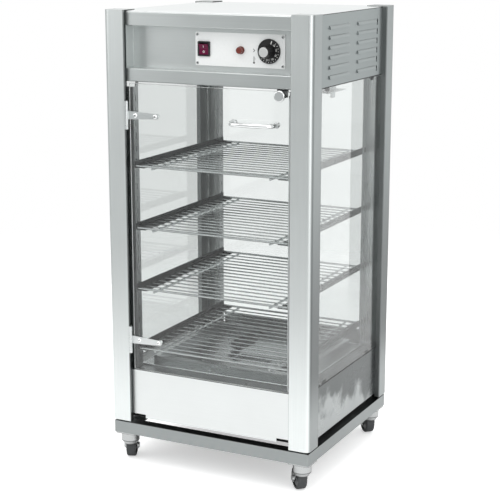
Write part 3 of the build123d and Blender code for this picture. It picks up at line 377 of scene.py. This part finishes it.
def speckled_skin():
    """Fine specks and slightly uneven gloss: noise drawn out to run from -1 to 1, times the
    mottle, is added to 1 for the tone, and times 0.06 to the dullness for the roughness. The
    noise is also the height of the relief."""
    group, into = new_group("speckled_skin", (
        ("INPUT", "Vector", ("Place",)),
        ("INPUT", "Color", ("Skin",)),
        ("INPUT", "Float", ("Fineness", "Mottle", "Dullness", "Relief")),
        ("OUTPUT", "Color", ("Color",)),
        ("OUTPUT", "Float", ("Roughness",)),
        ("OUTPUT", "Vector", ("Normal",)),
    ))
    speck = noise(group, into["Place"], into["Fineness"], 2.0)
    uneven = maths(group, "MULTIPLY_ADD", speck, 2.0, -1.0)
    tone = maths(group, "MULTIPLY_ADD", uneven, into["Mottle"], 1.0)
    relief = shader(group, "Bump", {
        "Distance": 0.0003, "Strength": into["Relief"], "Height": speck})
    shader(group, "NodeGroupOutput", {
        "Color": scaled(group, into["Skin"], tone),
        "Roughness": maths(group, "MULTIPLY_ADD", uneven, 0.06, into["Dullness"]),
        "Normal": relief.outputs[0]})
    return group


speck_group = speckled_skin()


def moulded(name, colour, dullness=0.45, relief=0.12, fineness=900.0, mottle=0.14, tint=None):
    """A moulded or enamelled skin. fineness gives the specks in a metre, and tint works as marks
    does in brushed."""
    material, tree, skin = new_finish(name)
    place, axes = object_place(tree)
    pattern = shader(tree, "Group", {
        "Place": place, "Skin": (*colour, 1.0), "Fineness": fineness, "Mottle": mottle,
        "Dullness": dullness, "Relief": relief,
    }, node_tree=speck_group)
    shade = pattern.outputs["Color"]
    if tint:
        shade = tint(tree, place, axes, shade)
    finish_from(tree, skin, pattern, shade)
    return material


slot_middle_y, slot_pitch, lowest_slot_z = 0.149, 0.020, 0.86625
slot_rim, slot_row, slots_top = (0.0024, 0.0036), (0.24, 0.30), (0.974, 0.976)


def slot_shade(tree, place, axes, colour):
    """Darkens the rim of the six short slots behind the louvres: |y - 149 mm| under 3 mm, at
    the middle of each 20 mm row, up to z = 975 mm."""
    near = ramp(tree, distance(tree, axes["Y"], slot_middle_y), *slot_rim, 1.0, 0.0)
    row_zero = 0.5 - lowest_slot_z / slot_pitch
    row = maths(tree, "FRACT", maths(tree, "MULTIPLY_ADD", axes["Z"], 1 / slot_pitch, row_zero))
    in_row = ramp(tree, distance(tree, row, 0.5), *slot_row, 1.0, 0.0)
    below_top = ramp(tree, axes["Z"], *slots_top, 1.0, 0.0)
    shade = maths(tree, "MULTIPLY", maths(tree, "MULTIPLY", near, in_row), below_top)
    return blend_of(tree, shade, colour, (0.06, 0.065, 0.065))


# The sheet's tones carry painted light: the cover is painted near white as a painted highlight,
# and the sides (side_steel) and the back are painted darker as painted shade.
rail_steel = brushed("rail_steel", (0.63, 0.655, 0.65), (6.0, 700.0, 700.0),
                     streaks=0.10, smears=0.08, dullness=0.32)
cover_highlight_steel = brushed("cover_highlight_steel", (0.90, 0.92, 0.915), (5.0, 600.0, 600.0),
                      streaks=0.05, smears=0.03, dullness=0.36)
side_steel = brushed("side_steel", (0.32, 0.345, 0.345), (700.0, 6.0, 700.0),
                     streaks=0.12, smears=0.30, dullness=0.46, marks=slot_shade)
panel_steel = brushed("panel_steel", (0.63, 0.655, 0.65), (7.0, 600.0, 600.0),
                      streaks=0.09, smears=0.12, dullness=0.36)
back_shade_steel = brushed("back_shade_steel", (0.42, 0.44, 0.44), (6.0, 700.0, 700.0),
                     streaks=0.12, smears=0.16, dullness=0.38)
black_nylon = moulded("black_nylon", (0.018, 0.018, 0.020), dullness=0.42)
wear(rail_steel, "top_front_rail", "door_header_rail")
wear(back_shade_steel, "top_back_panel")
wear(cover_highlight_steel, "top_cover", "ceiling_panel")
wear(side_steel, "top_left_panel", "top_right_panel")
wear(panel_steel, "control_panel")
wear(black_nylon, "cable_gland")

dark_bead = moulded("dark_bead", (0.020, 0.022, 0.022), dullness=0.5, relief=0.1, fineness=600.0)
# Along the cover the black beads are painted shade for the dark gap at the cover's edge.
bead_half, bead_rise = 0.0018, 0.0011
bead_x, bead_front, bead_rear, ledge_top = 0.2270, -0.2020, 0.2120, 0.9965
bead_profile = half_circle(9) * (bead_half, bead_rise)
cover_beads = [
    carried(level_line((x, bead_front), (x, bead_rear), ledge_top), bead_profile)
    for x in (-bead_x, bead_x)]
surface("cover_seam_shade_beads", cover_beads, dark_bead, "cabinet")


# Lower box: the same sheet as the top box, in tones of painted light and shade. Its front panel
# is smooth and painted light, a painted reflection of the floor; the side and back panels and the
# sill are painted dark as painted shade, the sides and back with patches of painted reflection;
# the base below is coloured black as painted shade under the case.
# Painted reflection patches on the dark lower side and back panels.
patch_up, patch_back, patch_start = 3.2, 0.9, -0.297
patch_border, reflection_tone = (0.62, 0.84), (0.45, 0.47, 0.47)


def reflection_patches(tree, place, axes, colour):
    """Painted reflections in two tones with a wandering border, the lighter a painted reflection
    on
    the dark panel: noise plus a slope of 0.9 a metre to the rear and 3.2 a metre upwards decides
    which of them shows."""
    level = maths(tree, "MULTIPLY_ADD", axes["Z"], patch_up, patch_start)
    level = maths(tree, "MULTIPLY_ADD", axes["Y"], patch_back, level)
    level = maths(tree, "ADD", noise(tree, place, 16.0, 4.0), level)
    return blend_of(tree, ramp(tree, level, *patch_border), reflection_tone, colour)


# Painted light and shade by face: the front panel is painted light as a painted reflection of the
# floor; the side and back panels and the sill are painted dark as painted shade.
front_reflection_steel = brushed("front_reflection_steel", (0.80, 0.82, 0.815), (5.0, 500.0, 500.0),
                      streaks=0.04, smears=0.09, dullness=0.34)
lower_side_shade_steel = brushed("lower_side_shade_steel", (0.145, 0.155, 0.155), (600.0, 6.0, 600.0),
                           streaks=0.12, smears=0.40, dullness=0.30, marks=reflection_patches)
sill_shade_steel = brushed("sill_shade_steel", (0.16, 0.17, 0.17), (60.0, 60.0, 500.0),
                     streaks=0.10, smears=0.10, dullness=0.30)
# The base plate is coloured black as painted shade, so the gap under the case looks dark.
base_shade_black = moulded("base_shade_black", (0.012, 0.013, 0.013),
                     dullness=0.55, relief=0.1, fineness=500.0)
wear(front_reflection_steel, "lower_front_panel")
wear(lower_side_shade_steel, "lower_left_panel", "lower_right_panel", "lower_back_panel")
wear(sill_shade_steel, "sill_frame")
wear(base_shade_black, "base_plate")


# Underframe: channels of thicker sheet, duller than the case, with round spacers of black
# nylon between them and the posts. Their upper flanges lie in the shade of the case.
upper_flange_z = (0.0944, 0.0948)


def shaded_tops(tree, place, axes, colour):
    """Darkens the upper flange, where z passes 94.6 mm."""
    return blend_of(tree, ramp(tree, axes["Z"], *upper_flange_z), colour, (0.05, 0.055, 0.055))


frame_steel = brushed("frame_steel", (0.35, 0.37, 0.37), (8.0, 8.0, 500.0),
                      streaks=0.12, smears=0.14, dullness=0.36, marks=shaded_tops)
wear(frame_steel, "underframe_cross_rails", "underframe_side_rails")
wear(black_nylon, "frame_spacers")


# Casters: a zinc plated plate and fork, a riveted axle and a wheel of dark grey rubber. Every
# wheel has its own axle line, so the rings of its hub and tyre are laid round that line.
wheel_radius = 0.025
hub_radius, bead_radius = 0.70 * wheel_radius, 0.76 * wheel_radius
trail_angles = {"front_left": 22.0, "front_right": 44.0, "rear_left": 15.0, "rear_right": 42.0}
swivel_gap, cup_shoulder, cup_rim = 0.0652, 0.0465, 0.0378


def hub_rings(middle, angle):
    """Marks for a wheel: a paler hub inside 0.7 of its radius, and a fine dark ring at the bead
    of the tyre, both by the distance from the axle line."""
    def marks(tree, place, axes, colour):
        centred = shader(tree, "Mapping", {
            "Vector": place, "Location": middle, "Rotation": (0.0, 0.0, np.radians(angle)),
        }, vector_type="TEXTURE").outputs[0]
        split = shader(tree, "SeparateXYZ", {0: centred}).outputs
        flat = shader(tree, "CombineXYZ", {"Y": split["Y"], "Z": split["Z"]}).outputs[0]
        out = length_of(tree, flat)
        tyre = ramp(tree, out, hub_radius, hub_radius + 0.001)
        off_bead = ramp(tree, distance(tree, out, bead_radius), 0.0002, 0.0008)
        colour = blend_of(tree, tyre, (0.17, 0.175, 0.18), colour)
        return blend_of(tree, off_bead, (0.010, 0.010, 0.011), colour)
    return marks


def zinc_shadows(tree, place, axes, colour):
    """Painted shade on a caster: dark bands at the swivel's gap under the plate, at the shoulder
    of the cup and along its lower rim. A band fades out between half its reach and one and a half
    times it, measured up and down."""
    for height, reach in ((swivel_gap, 0.0010), (cup_shoulder, 0.0008), (cup_rim, 0.0012)):
        near = distance(tree, axes["Z"], height)
        dark = ramp(tree, near, reach * 0.5, reach * 1.5, 0.85, 0.0)
        colour = blend_of(tree, dark, colour, (0.05, 0.05, 0.05))
    return colour


zinc = brushed("zinc", (0.56, 0.57, 0.57), (90.0, 90.0, 90.0),
               streaks=0.06, smears=0.26, dullness=0.16, relief=0.10, marks=zinc_shadows)
wear(zinc, "caster_plates")
for corner, angle in trail_angles.items():
    wear(zinc, f"caster_fork_{corner}")
    low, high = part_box(f"caster_wheel_{corner}")
    rubber = moulded(f"rubber_{corner}", (0.040, 0.043, 0.045), dullness=0.50, relief=0.2,
                     fineness=1400.0, tint=hub_rings((low + high) / 2, angle))
    wear(rubber, f"caster_wheel_{corner}")


# Glass: toughened float glass with a faint green body, the three fixed panes with black beads
# along their upper and lower edges. It carries thin wiped streaks, and lets the lamps shine
# through to the shelves.
def wiped_streaks():
    """Thin streaks that lie askew: noise in a turned place, finer one way, lifts the roughness
    from 0 up to the haze."""
    group, into = new_group("wiped_streaks", (
        ("INPUT", "Vector", ("Place",)),
        ("INPUT", "Float", ("Haze",)),
        ("OUTPUT", "Float", ("Roughness",)),
    ))
    askew = shader(group, "Mapping", {
        "Vector": into["Place"], "Rotation": (0.5, 0.4, 0.6), "Scale": (3.0, 3.0, 14.0)})
    smear = noise(group, askew.outputs[0], 5.0, 3.0)
    shader(group, "NodeGroupOutput", {
        "Roughness": ramp(group, smear, 0.55, 0.8, 0.0, into["Haze"])})
    return group


streak_group = wiped_streaks()
ground_start, ground_full, ground_dullness = 0.0009, 0.0004, 0.55


def float_glass(name, body, haze, ground_box=None):
    """Clear glass with faint wiped streaks in its gloss. ground_box gives the pane whose edges
    are ground: within a millimetre of them the glass is white and dull."""
    material, tree, glass = new_finish(name)
    glass.inputs["Base Color"].default_value = (*body, 1.0)
    glass.inputs["Transmission Weight"].default_value = 1.0
    glass.inputs["IOR"].default_value = 1.5
    place, axes = object_place(tree)
    streaks = shader(tree, "Group", {"Place": place, "Haze": haze}, node_tree=streak_group)
    rough = streaks.outputs["Roughness"]
    if ground_box:
        low, high = ground_box
        middle, half = (low + high) / 2, (high - low) / 2
        edges = [
            ramp(tree, distance(tree, axes[axis], middle[i]),
                 half[i] - ground_start, half[i] - ground_full)
            for i, axis in ((0, "X"), (2, "Z"))]
        edge = maths(tree, "MAXIMUM", *edges)
        rough = maths(tree, "MULTIPLY_ADD", edge, ground_dullness, rough)
        tree.links.new(blend_of(tree, edge, body, (0.98, 1.0, 0.99)), glass.inputs["Base Color"])
    tree.links.new(rough, glass.inputs["Roughness"])
    clear = shader(tree, "BsdfTransparent", {"Color": (0.93, 0.95, 0.945, 1.0)})
    shadow = shader(tree, "LightPath").outputs["Is Shadow Ray"]
    choice = shader(tree, "MixShader", {0: shadow, 1: glass.outputs[0], 2: clear.outputs[0]})
    tree.links.new(choice.outputs[0], tree.nodes["Material Output"].inputs["Surface"])
    return material


side_pane = float_glass("side_pane", (0.720, 0.742, 0.736), haze=0.02)
rear_pane = float_glass("rear_pane", (0.925, 0.945, 0.940), haze=0.02)
door_pane = float_glass("door_pane", (0.950, 0.965, 0.960), haze=0.01,
                        ground_box=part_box("door_glass"))
wear(side_pane, "left_glass", "right_glass")
wear(rear_pane, "rear_glass")
wear(door_pane, "door_glass")

glazing_half, glazing_proud = 0.0010, 0.0005
glazing_levels = (0.8510, 0.2212)
side_seal_x, side_seal_front, side_seal_rear = 0.2290, -0.1690, 0.1790
rear_seal_y, rear_seal_half = 0.2165, 0.1915
glazing_profile = half_circle(9)[:, ::-1] * (glazing_proud, glazing_half)
glazing_lines = (
    ((side_seal_x, side_seal_front), (side_seal_x, side_seal_rear)),
    ((-side_seal_x, side_seal_rear), (-side_seal_x, side_seal_front)),
    ((rear_seal_half, rear_seal_y), (-rear_seal_half, rear_seal_y)),
)
glazing = [
    carried(level_line(start, end, z), glazing_profile)
    for z in glazing_levels for start, end in glazing_lines]
surface("glazing_beads", glazing, dark_bead, "cabinet")


# Door fittings: chromed handle and strike disc, brushed strap hinges with domed chrome screws
# that have a cross recess, and a magnetic catch in a case of black nylon.
def raised(outline, back, front, bevel=0.1):
    """A flat mark on an upright face that looks to -Y: the outline (x, z) stands from y = back to
    y = front, its front edge drawn in towards the middle by the bevel's share of its size."""
    middle = outline.mean(0)
    shoulder = front + 0.3 * (back - front)
    rings = []
    for y, share in ((back, 1.0), (shoulder, 1.0), (front, 1.0 - bevel)):
        drawn = middle + (outline - middle) * share
        rings.append(np.stack([drawn[:, 0], np.full(len(drawn), y), drawn[:, 1]], 1))
    return np.array(rings)


def bar(x, z, length, width, turn=0.0):
    """The outline of a round-ended bar about (x, z): a half circle at each end, its length
    turned clockwise from upright as seen from the front, in degrees."""
    end = half_circle(7) * width / 2
    shift = np.array([0.0, (length - width) / 2])
    outline = np.vstack([end + shift, -end - shift])
    cos, sin = np.cos(np.radians(turn)), np.sin(np.radians(turn))
    return outline @ np.array([[cos, -sin], [sin, cos]]) + (x, z)


# Black for painted shade in the screws' cross recesses.
recess_shade = moulded("recess_shade", (0.010, 0.010, 0.010),
                       dullness=0.6, relief=0.05, fineness=500.0)
recess_width, recess_back, recess_proud = 0.0007, 0.0003, 0.00004


def cross_recesses(name, screws, columns, levels, length, turn, body):
    """Two crossed bars on the head of each screw of a node, one at the turn in degrees and one
    square to it, black as painted shade for the recess. They stand from just behind the heads'
    front to just before it."""
    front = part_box(screws)[0][1]
    bars = [
        raised(bar(x, z, length, recess_width, angle), front + recess_back, front - recess_proud)
        for x in columns for z in levels for angle in (turn, turn + 90.0)]
    surface(name, bars, recess_shade, body)


chrome = brushed("chrome", (0.88, 0.89, 0.89), (40.0, 40.0, 40.0),
                 streaks=0.02, smears=0.05, dullness=0.08, relief=0.02)
strap_steel = brushed("strap_steel", (0.72, 0.74, 0.74), (30.0, 900.0, 900.0),
                      streaks=0.10, smears=0.06, dullness=0.28)
wear(chrome, "door_handle", "strike_disc", "door_screws")
wear(strap_steel, "hinge_straps", "hinge_brackets")
wear(black_nylon, "magnetic_catch")
strap_screw_columns, hinge_levels = (-0.167, -0.119), (0.290, 0.782)
cross_recesses("hinge_screw_recesses", "door_screws", strap_screw_columns, hinge_levels,
               length=0.0030, turn=20.0, body="door")


# Inside: slotted uprights, shelf rails and glass clips of brushed sheet, and chromed wire
# shelves. The left uprights and the rails stand in the shade of the posts, so they are darker.
def left_shade(tree, place, axes, colour):
    """Darkens the steel towards the left, between x = 60 mm and x = -60 mm."""
    dim = scaled(tree, colour, 0.42)
    return blend_of(tree, ramp(tree, axes["X"], -0.06, 0.06), dim, colour)


upright_steel = brushed("upright_steel", (0.42, 0.44, 0.44), (500.0, 500.0, 6.0),
                        streaks=0.08, smears=0.08, dullness=0.28, marks=left_shade)
shelf_rail_steel = brushed("shelf_rail_steel", (0.15, 0.16, 0.16), (500.0, 8.0, 500.0),
                           streaks=0.14, smears=0.20, dullness=0.28, marks=left_shade)
rail_shader = shelf_rail_steel.node_tree.nodes["Principled BSDF"]
rail_shader.inputs["Specular Tint"].default_value = (0.2, 0.2, 0.2, 1.0)
wire_steel = brushed("wire_steel", (0.44, 0.46, 0.46), (20.0, 300.0, 300.0),
                     streaks=0.06, smears=0.12, dullness=0.18)
wear(upright_steel, "shelf_uprights", "temperature_probe", "glass_clips")
wear(shelf_rail_steel, "left_shelf_rails", "right_shelf_rails")
wear(wire_steel, "shelf_1", "shelf_2", "shelf_3", "shelf_4")


# Rear strip: a strip of stainless sheet, hemmed along its top, that stands on the sill and holds
# the foot of the rear glass. Its section (y, z) is a flat sheet with a round bead for its hem.
strip_front, strip_sheet, strip_hem = 0.2088, 0.0012, 0.0011
strip_foot, strip_top, strip_half = 0.2204, 0.2500, 0.1785
strip_back, strip_middle = strip_front + strip_sheet, strip_front + strip_sheet / 2
hem_foot = strip_top - 3 * strip_hem
hem_round = half_circle(7) * (-strip_hem, strip_hem) + (strip_middle, strip_top - strip_hem)
strip_profile = np.vstack([
    [(strip_front, strip_foot), (strip_front, hem_foot)], hem_round,
    [(strip_back, hem_foot), (strip_back, strip_foot)],
])
strip_x = np.linspace(-strip_half, strip_half, 9)[:, None]
strip_grid = np.stack([
    strip_x + 0 * strip_profile[:, 0], 0 * strip_x + strip_profile[:, 0],
    0 * strip_x + strip_profile[:, 1]], -1)
strip_steel = brushed("strip_steel", (0.30, 0.32, 0.32), (6.0, 500.0, 500.0),
                      streaks=0.10, smears=0.12, dullness=0.26)
surface("rear_glass_strip", [strip_grid], strip_steel, "cabinet")


# Drip tray: pressed from thin stainless sheet with a rolled hem round its flange. Its floor is
# darker in a round spot at the left rear, with a dark run from it towards the front.
dark_spot_x, dark_spot_y, dark_spot_radius = -0.070, 0.100, 0.021
dark_spot_stretch, run_slant, dark_spot_wander = 0.6, 0.16, 0.014
ring_fade, core_fade, run_fade = (0.003, 0.009), (0.010, 0.024), (0.004, 0.012)
run_end, tray_floor_top = (0.090, 0.125), (0.2200, 0.2225)


def tray_marks(tree, place, axes, colour):
    """A ring and a core about the spot, and a band along the line from the spot to the front:
    distances in the level plane, made uneven by noise, on the floor alone, all darker. The dark
    marks also take away the steel's shine at a low angle."""
    wander = maths(tree, "SUBTRACT", noise(tree, place, 70.0, 3.0), 0.5)
    uneven = maths(tree, "MULTIPLY", wander, dark_spot_wander)
    x = maths(tree, "SUBTRACT", axes["X"], dark_spot_x)
    y = maths(tree, "SUBTRACT", axes["Y"], dark_spot_y)
    flat = shader(tree, "CombineXYZ", {"X": x, "Y": maths(tree, "MULTIPLY", y, dark_spot_stretch)})
    out = maths(tree, "ADD", length_of(tree, flat.outputs[0]), uneven)
    ring = ramp(tree, distance(tree, out, dark_spot_radius), *ring_fade, 0.96, 0.0)
    core = ramp(tree, out, *core_fade, 0.85, 0.0)
    aside = maths(tree, "ADD", maths(tree, "MULTIPLY_ADD", y, run_slant, x), uneven)
    run = ramp(tree, maths(tree, "ABSOLUTE", aside), *run_fade, 0.85, 0.0)
    in_reach = ramp(tree, maths(tree, "ABSOLUTE", y), *run_end, 1.0, 0.0)
    run = maths(tree, "MULTIPLY", run, in_reach)
    mark = maths(tree, "MAXIMUM", maths(tree, "MAXIMUM", ring, core), run)
    floor_mark = maths(tree, "MULTIPLY", mark, ramp(tree, axes["Z"], *tray_floor_top, 1.0, 0.0))
    shine = blend_of(tree, floor_mark, (1.0, 1.0, 1.0), (0.04, 0.04, 0.04))
    tree.links.new(shine, tree.nodes["Principled BSDF"].inputs["Specular Tint"])
    return blend_of(tree, floor_mark, colour, (0.030, 0.034, 0.034))


tray_steel = brushed("tray_steel", (0.30, 0.32, 0.32), (30.0, 300.0, 30.0),
                     streaks=0.10, smears=0.12, dullness=0.24, relief=0.06, marks=tray_marks)
wear(tray_steel, "drip_tray")

low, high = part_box("drip_tray")
hem_radius, hem_corner, hem_level = 0.0015, 0.006, 0.2224
inset = hem_radius + hem_corner
corner_middles = (
    (high[0] - inset, high[1] - inset), (low[0] + inset, high[1] - inset),
    (low[0] + inset, low[1] + inset), (high[0] - inset, low[1] + inset),
)
hem_path = []
for quarter_turns, (x, y) in enumerate(corner_middles):
    turn = np.linspace(0.0, np.pi / 2, 6) + quarter_turns * np.pi / 2
    hem_path.append(np.stack([
        x + hem_corner * np.cos(turn), y + hem_corner * np.sin(turn), 0 * turn + hem_level], 1))
# The hem is painted much lighter than the tray's own sheet, a painted highlight along the flange's
# edge.
hem_highlight_steel = brushed("hem_highlight_steel", (0.80, 0.82, 0.82), (60.0, 60.0, 60.0),
                    streaks=0.06, smears=0.10, dullness=0.20)
hem_grid = carried(np.vstack(hem_path), hem_radius * circle(12), closed=True)
surface("tray_hem", [hem_grid], hem_highlight_steel, "tray", closed=True)


# Heater: one tube bent into parallel runs under the drip tray, on two saddles that stand on the
# base plate. The heat has left its steel sheath dark and dull.
heater_sheath = brushed("heater_sheath", (0.16, 0.145, 0.14), (60.0, 300.0, 300.0),
                        streaks=0.20, smears=0.20, dullness=0.45, relief=0.3, metallic=0.8)
wear(heater_sheath, "heater_element")


# Label plate: white enamelled sheet on four small screws with a cross recess. Beside the dial
# it carries a small index and a plain thermometer mark in black.
z_control, label_front = 0.924, -0.1780
label_enamel = moulded("label_enamel", (0.90, 0.91, 0.905),
                       dullness=0.30, relief=0.02, fineness=180.0, mottle=0.03)
wear(label_enamel, "label_plate")
wear(zinc, "label_screws")
label_screw_columns, label_screw_rise = (-0.037, 0.157), 0.029
label_screw_levels = (z_control - label_screw_rise, z_control + label_screw_rise)
cross_recesses("label_screw_recesses", "label_screws", label_screw_columns, label_screw_levels,
               length=0.0034, turn=35.0, body="cabinet")

print_black = moulded("print_black", (0.020, 0.020, 0.022),
                      dullness=0.5, relief=0.02, fineness=700.0)
print_sink, print_proud = 0.0002, 0.00005
print_depth = (label_front + print_sink, label_front - print_proud)
index_x, index_length, index_width = 0.0925, 0.0058, 0.0011
upper_stroke, lower_stroke = (0.0020, -50.0), (-0.0012, 50.0)
index_mark = [
    raised(bar(index_x, z_control + rise, index_length, index_width, slant), *print_depth)
    for rise, slant in (upper_stroke, lower_stroke)]
surface("label_index", index_mark, print_black, "cabinet")

bulb_z, bulb_radius = 0.9000, 0.0022
stem_rise, stem_length, stem_width = 0.0070, 0.0120, 0.0014
degree_x, degree_length, degree_width = index_x + 0.0026, 0.0020, 0.0006
degree_rises = (0.0060, 0.0090)
thermometer = [
    raised((index_x, bulb_z) + bulb_radius * circle(20), *print_depth, bevel=0.08),
    raised(bar(index_x, bulb_z + stem_rise, stem_length, stem_width), *print_depth),
]
for rise in degree_rises:
    degree = bar(degree_x, bulb_z + rise, degree_length, degree_width, 90.0)
    thermometer.append(raised(degree, *print_depth))
surface("label_thermometer", thermometer, print_black, "cabinet")


# Switch and lamp: a black bezel with a dark red rocker, on which a line and a ring mark on and
# off, and a lens of brown-red plastic.
rocker_red = moulded("rocker_red", (0.115, 0.002, 0.034),
                     dullness=0.30, relief=0.02, fineness=400.0)
rocker_shader = rocker_red.node_tree.nodes["Principled BSDF"]
rocker_shader.inputs["Specular IOR Level"].default_value = 0.25
lens_red = moulded("lens_red", (0.16, 0.030, 0.022), dullness=0.16, relief=0.03, fineness=500.0)
wear(black_nylon, "switch_body")
wear(rocker_red, "switch_rocker")
wear(lens_red, "pilot_lamp")
pivot_y, rocker_x, rocker_tilt = -0.1770, -0.0215, np.radians(10.0)
face_valley, face_edge, face_reach = 0.0035, 0.0058, 0.0109


def tipped(points, angle):
    """Points turned about the X axis: y cos - z sin, and y sin + z cos."""
    x, y, z = points[..., 0], points[..., 1], points[..., 2]
    cos, sin = np.cos(angle), np.sin(angle)
    return np.stack([x, y * cos - z * sin, y * sin + z * cos], -1)


def on_rocker(grid, half):
    """Lays a mark, drawn about (0, 0) and standing towards -Y, on the rocker's upper half (1) or
    lower half (-1). The face runs from 3.5 mm before the pivot at its middle to 5.8 mm before it
    at 10.9 mm up or down, and all of it is tilted by 10 degrees about the pivot."""
    slope = np.arctan2(face_edge - face_valley, face_reach) * half
    middle = (0.0, -(face_valley + face_edge) / 2, half * face_reach / 2)
    return tipped(tipped(grid, slope) + middle, rocker_tilt) + (rocker_x, pivot_y, z_control)


mark_white = moulded("mark_white", (0.82, 0.82, 0.80),
                     dullness=0.4, relief=0.02, fineness=700.0, mottle=0.05)
mark_proud, mark_back = 0.00012, 0.0001
line_length, line_width = 0.0044, 0.0009
line_grid = raised(bar(0.0, 0.0, line_length, line_width), mark_back, -mark_proud)
surface("rocker_line", [on_rocker(line_grid, 1)], mark_white, "rocker")

ring_radius, ring_half_width = 0.0019, 0.0004
band_across, band_out = circle(8).T
ring_cos, ring_sin = circle(24).T[:, :, None]
band_reach = ring_radius + ring_half_width * band_across
ring_grid = np.stack([
    ring_cos * band_reach, 0 * ring_cos + mark_proud * band_out, ring_sin * band_reach], -1)
surface("rocker_ring", [on_rocker(ring_grid, -1)], mark_white, "rocker",
        closed=True)


# Dial: a black knob whose skirt is printed with numbers and a bold starting mark in white, and
# a pale metal disc on its grip. The thermostat behind the panel has a black case.
dial_x, skirt_front = 0.127, -0.1818
dial_black = moulded("dial_black", (0.008, 0.008, 0.009),
                     dullness=0.34, relief=0.06, fineness=1000.0)
disc_metal = brushed("disc_metal", (0.90, 0.90, 0.89), (300.0, 300.0, 300.0),
                     streaks=0.04, smears=0.05, dullness=0.30)
wear(dial_black, "dial_knob")
wear(disc_metal, "dial_cap")
wear(black_nylon, "thermostat_body")


def on_skirt(angle, radius):
    """The place (x, z) at an angle in degrees, clockwise from the top of the dial."""
    way = np.radians(angle)
    return dial_x + radius * np.sin(way), z_control + radius * np.cos(way)


tick_length, tick_width, tick_radius, tick_proud = 0.0026, 0.0008, 0.0220, 0.00006
start_angle, start_length, start_width, start_radius = 18.6, 0.0075, 0.0022, 0.0185
skirt_marks = [bar(*on_skirt(start_angle, start_radius), start_length, start_width, start_angle)]
for angle in range(45, 270, 15):
    skirt_marks.append(bar(*on_skirt(angle, tick_radius), tick_length, tick_width, angle))
ticks = [raised(mark, skirt_front + print_sink, skirt_front - tick_proud) for mark in skirt_marks]
surface("dial_ticks", ticks, mark_white, "dial")

number_radius, number_height, number_proud = 0.0170, 0.0052, 0.00008
number_points, number_faces, start = [], [], 0
for angle, word in ((45, "30"), (80, "50"), (115, "70"), (150, "90"), (185, "110"), (220, "130")):
    text = bpy.data.curves.new("dial_number", "FONT")
    text.body = word
    text.size = number_height
    text.align_x = text.align_y = "CENTER"
    text.extrude = number_proud
    writing = bpy.data.objects.new("dial_number", text)
    flat = bpy.data.meshes.new_from_object(writing)
    spots = np.empty(len(flat.vertices) * 3)
    flat.vertices.foreach_get("co", spots)
    right, up, out = spots.reshape(-1, 3).T
    x, z = on_skirt(angle, number_radius)
    cos, sin = np.cos(np.radians(angle)), np.sin(np.radians(angle))
    number_points.append(np.stack([
        x + right * cos + up * sin, skirt_front - out, z - right * sin + up * cos], 1))
    number_faces += [[v + start for v in face.vertices] for face in flat.polygons]
    start += len(right)
    bpy.data.objects.remove(writing)
    bpy.data.meshes.remove(flat)
placed("dial_numbers", np.vstack(number_points), number_faces, mark_white, "dial")
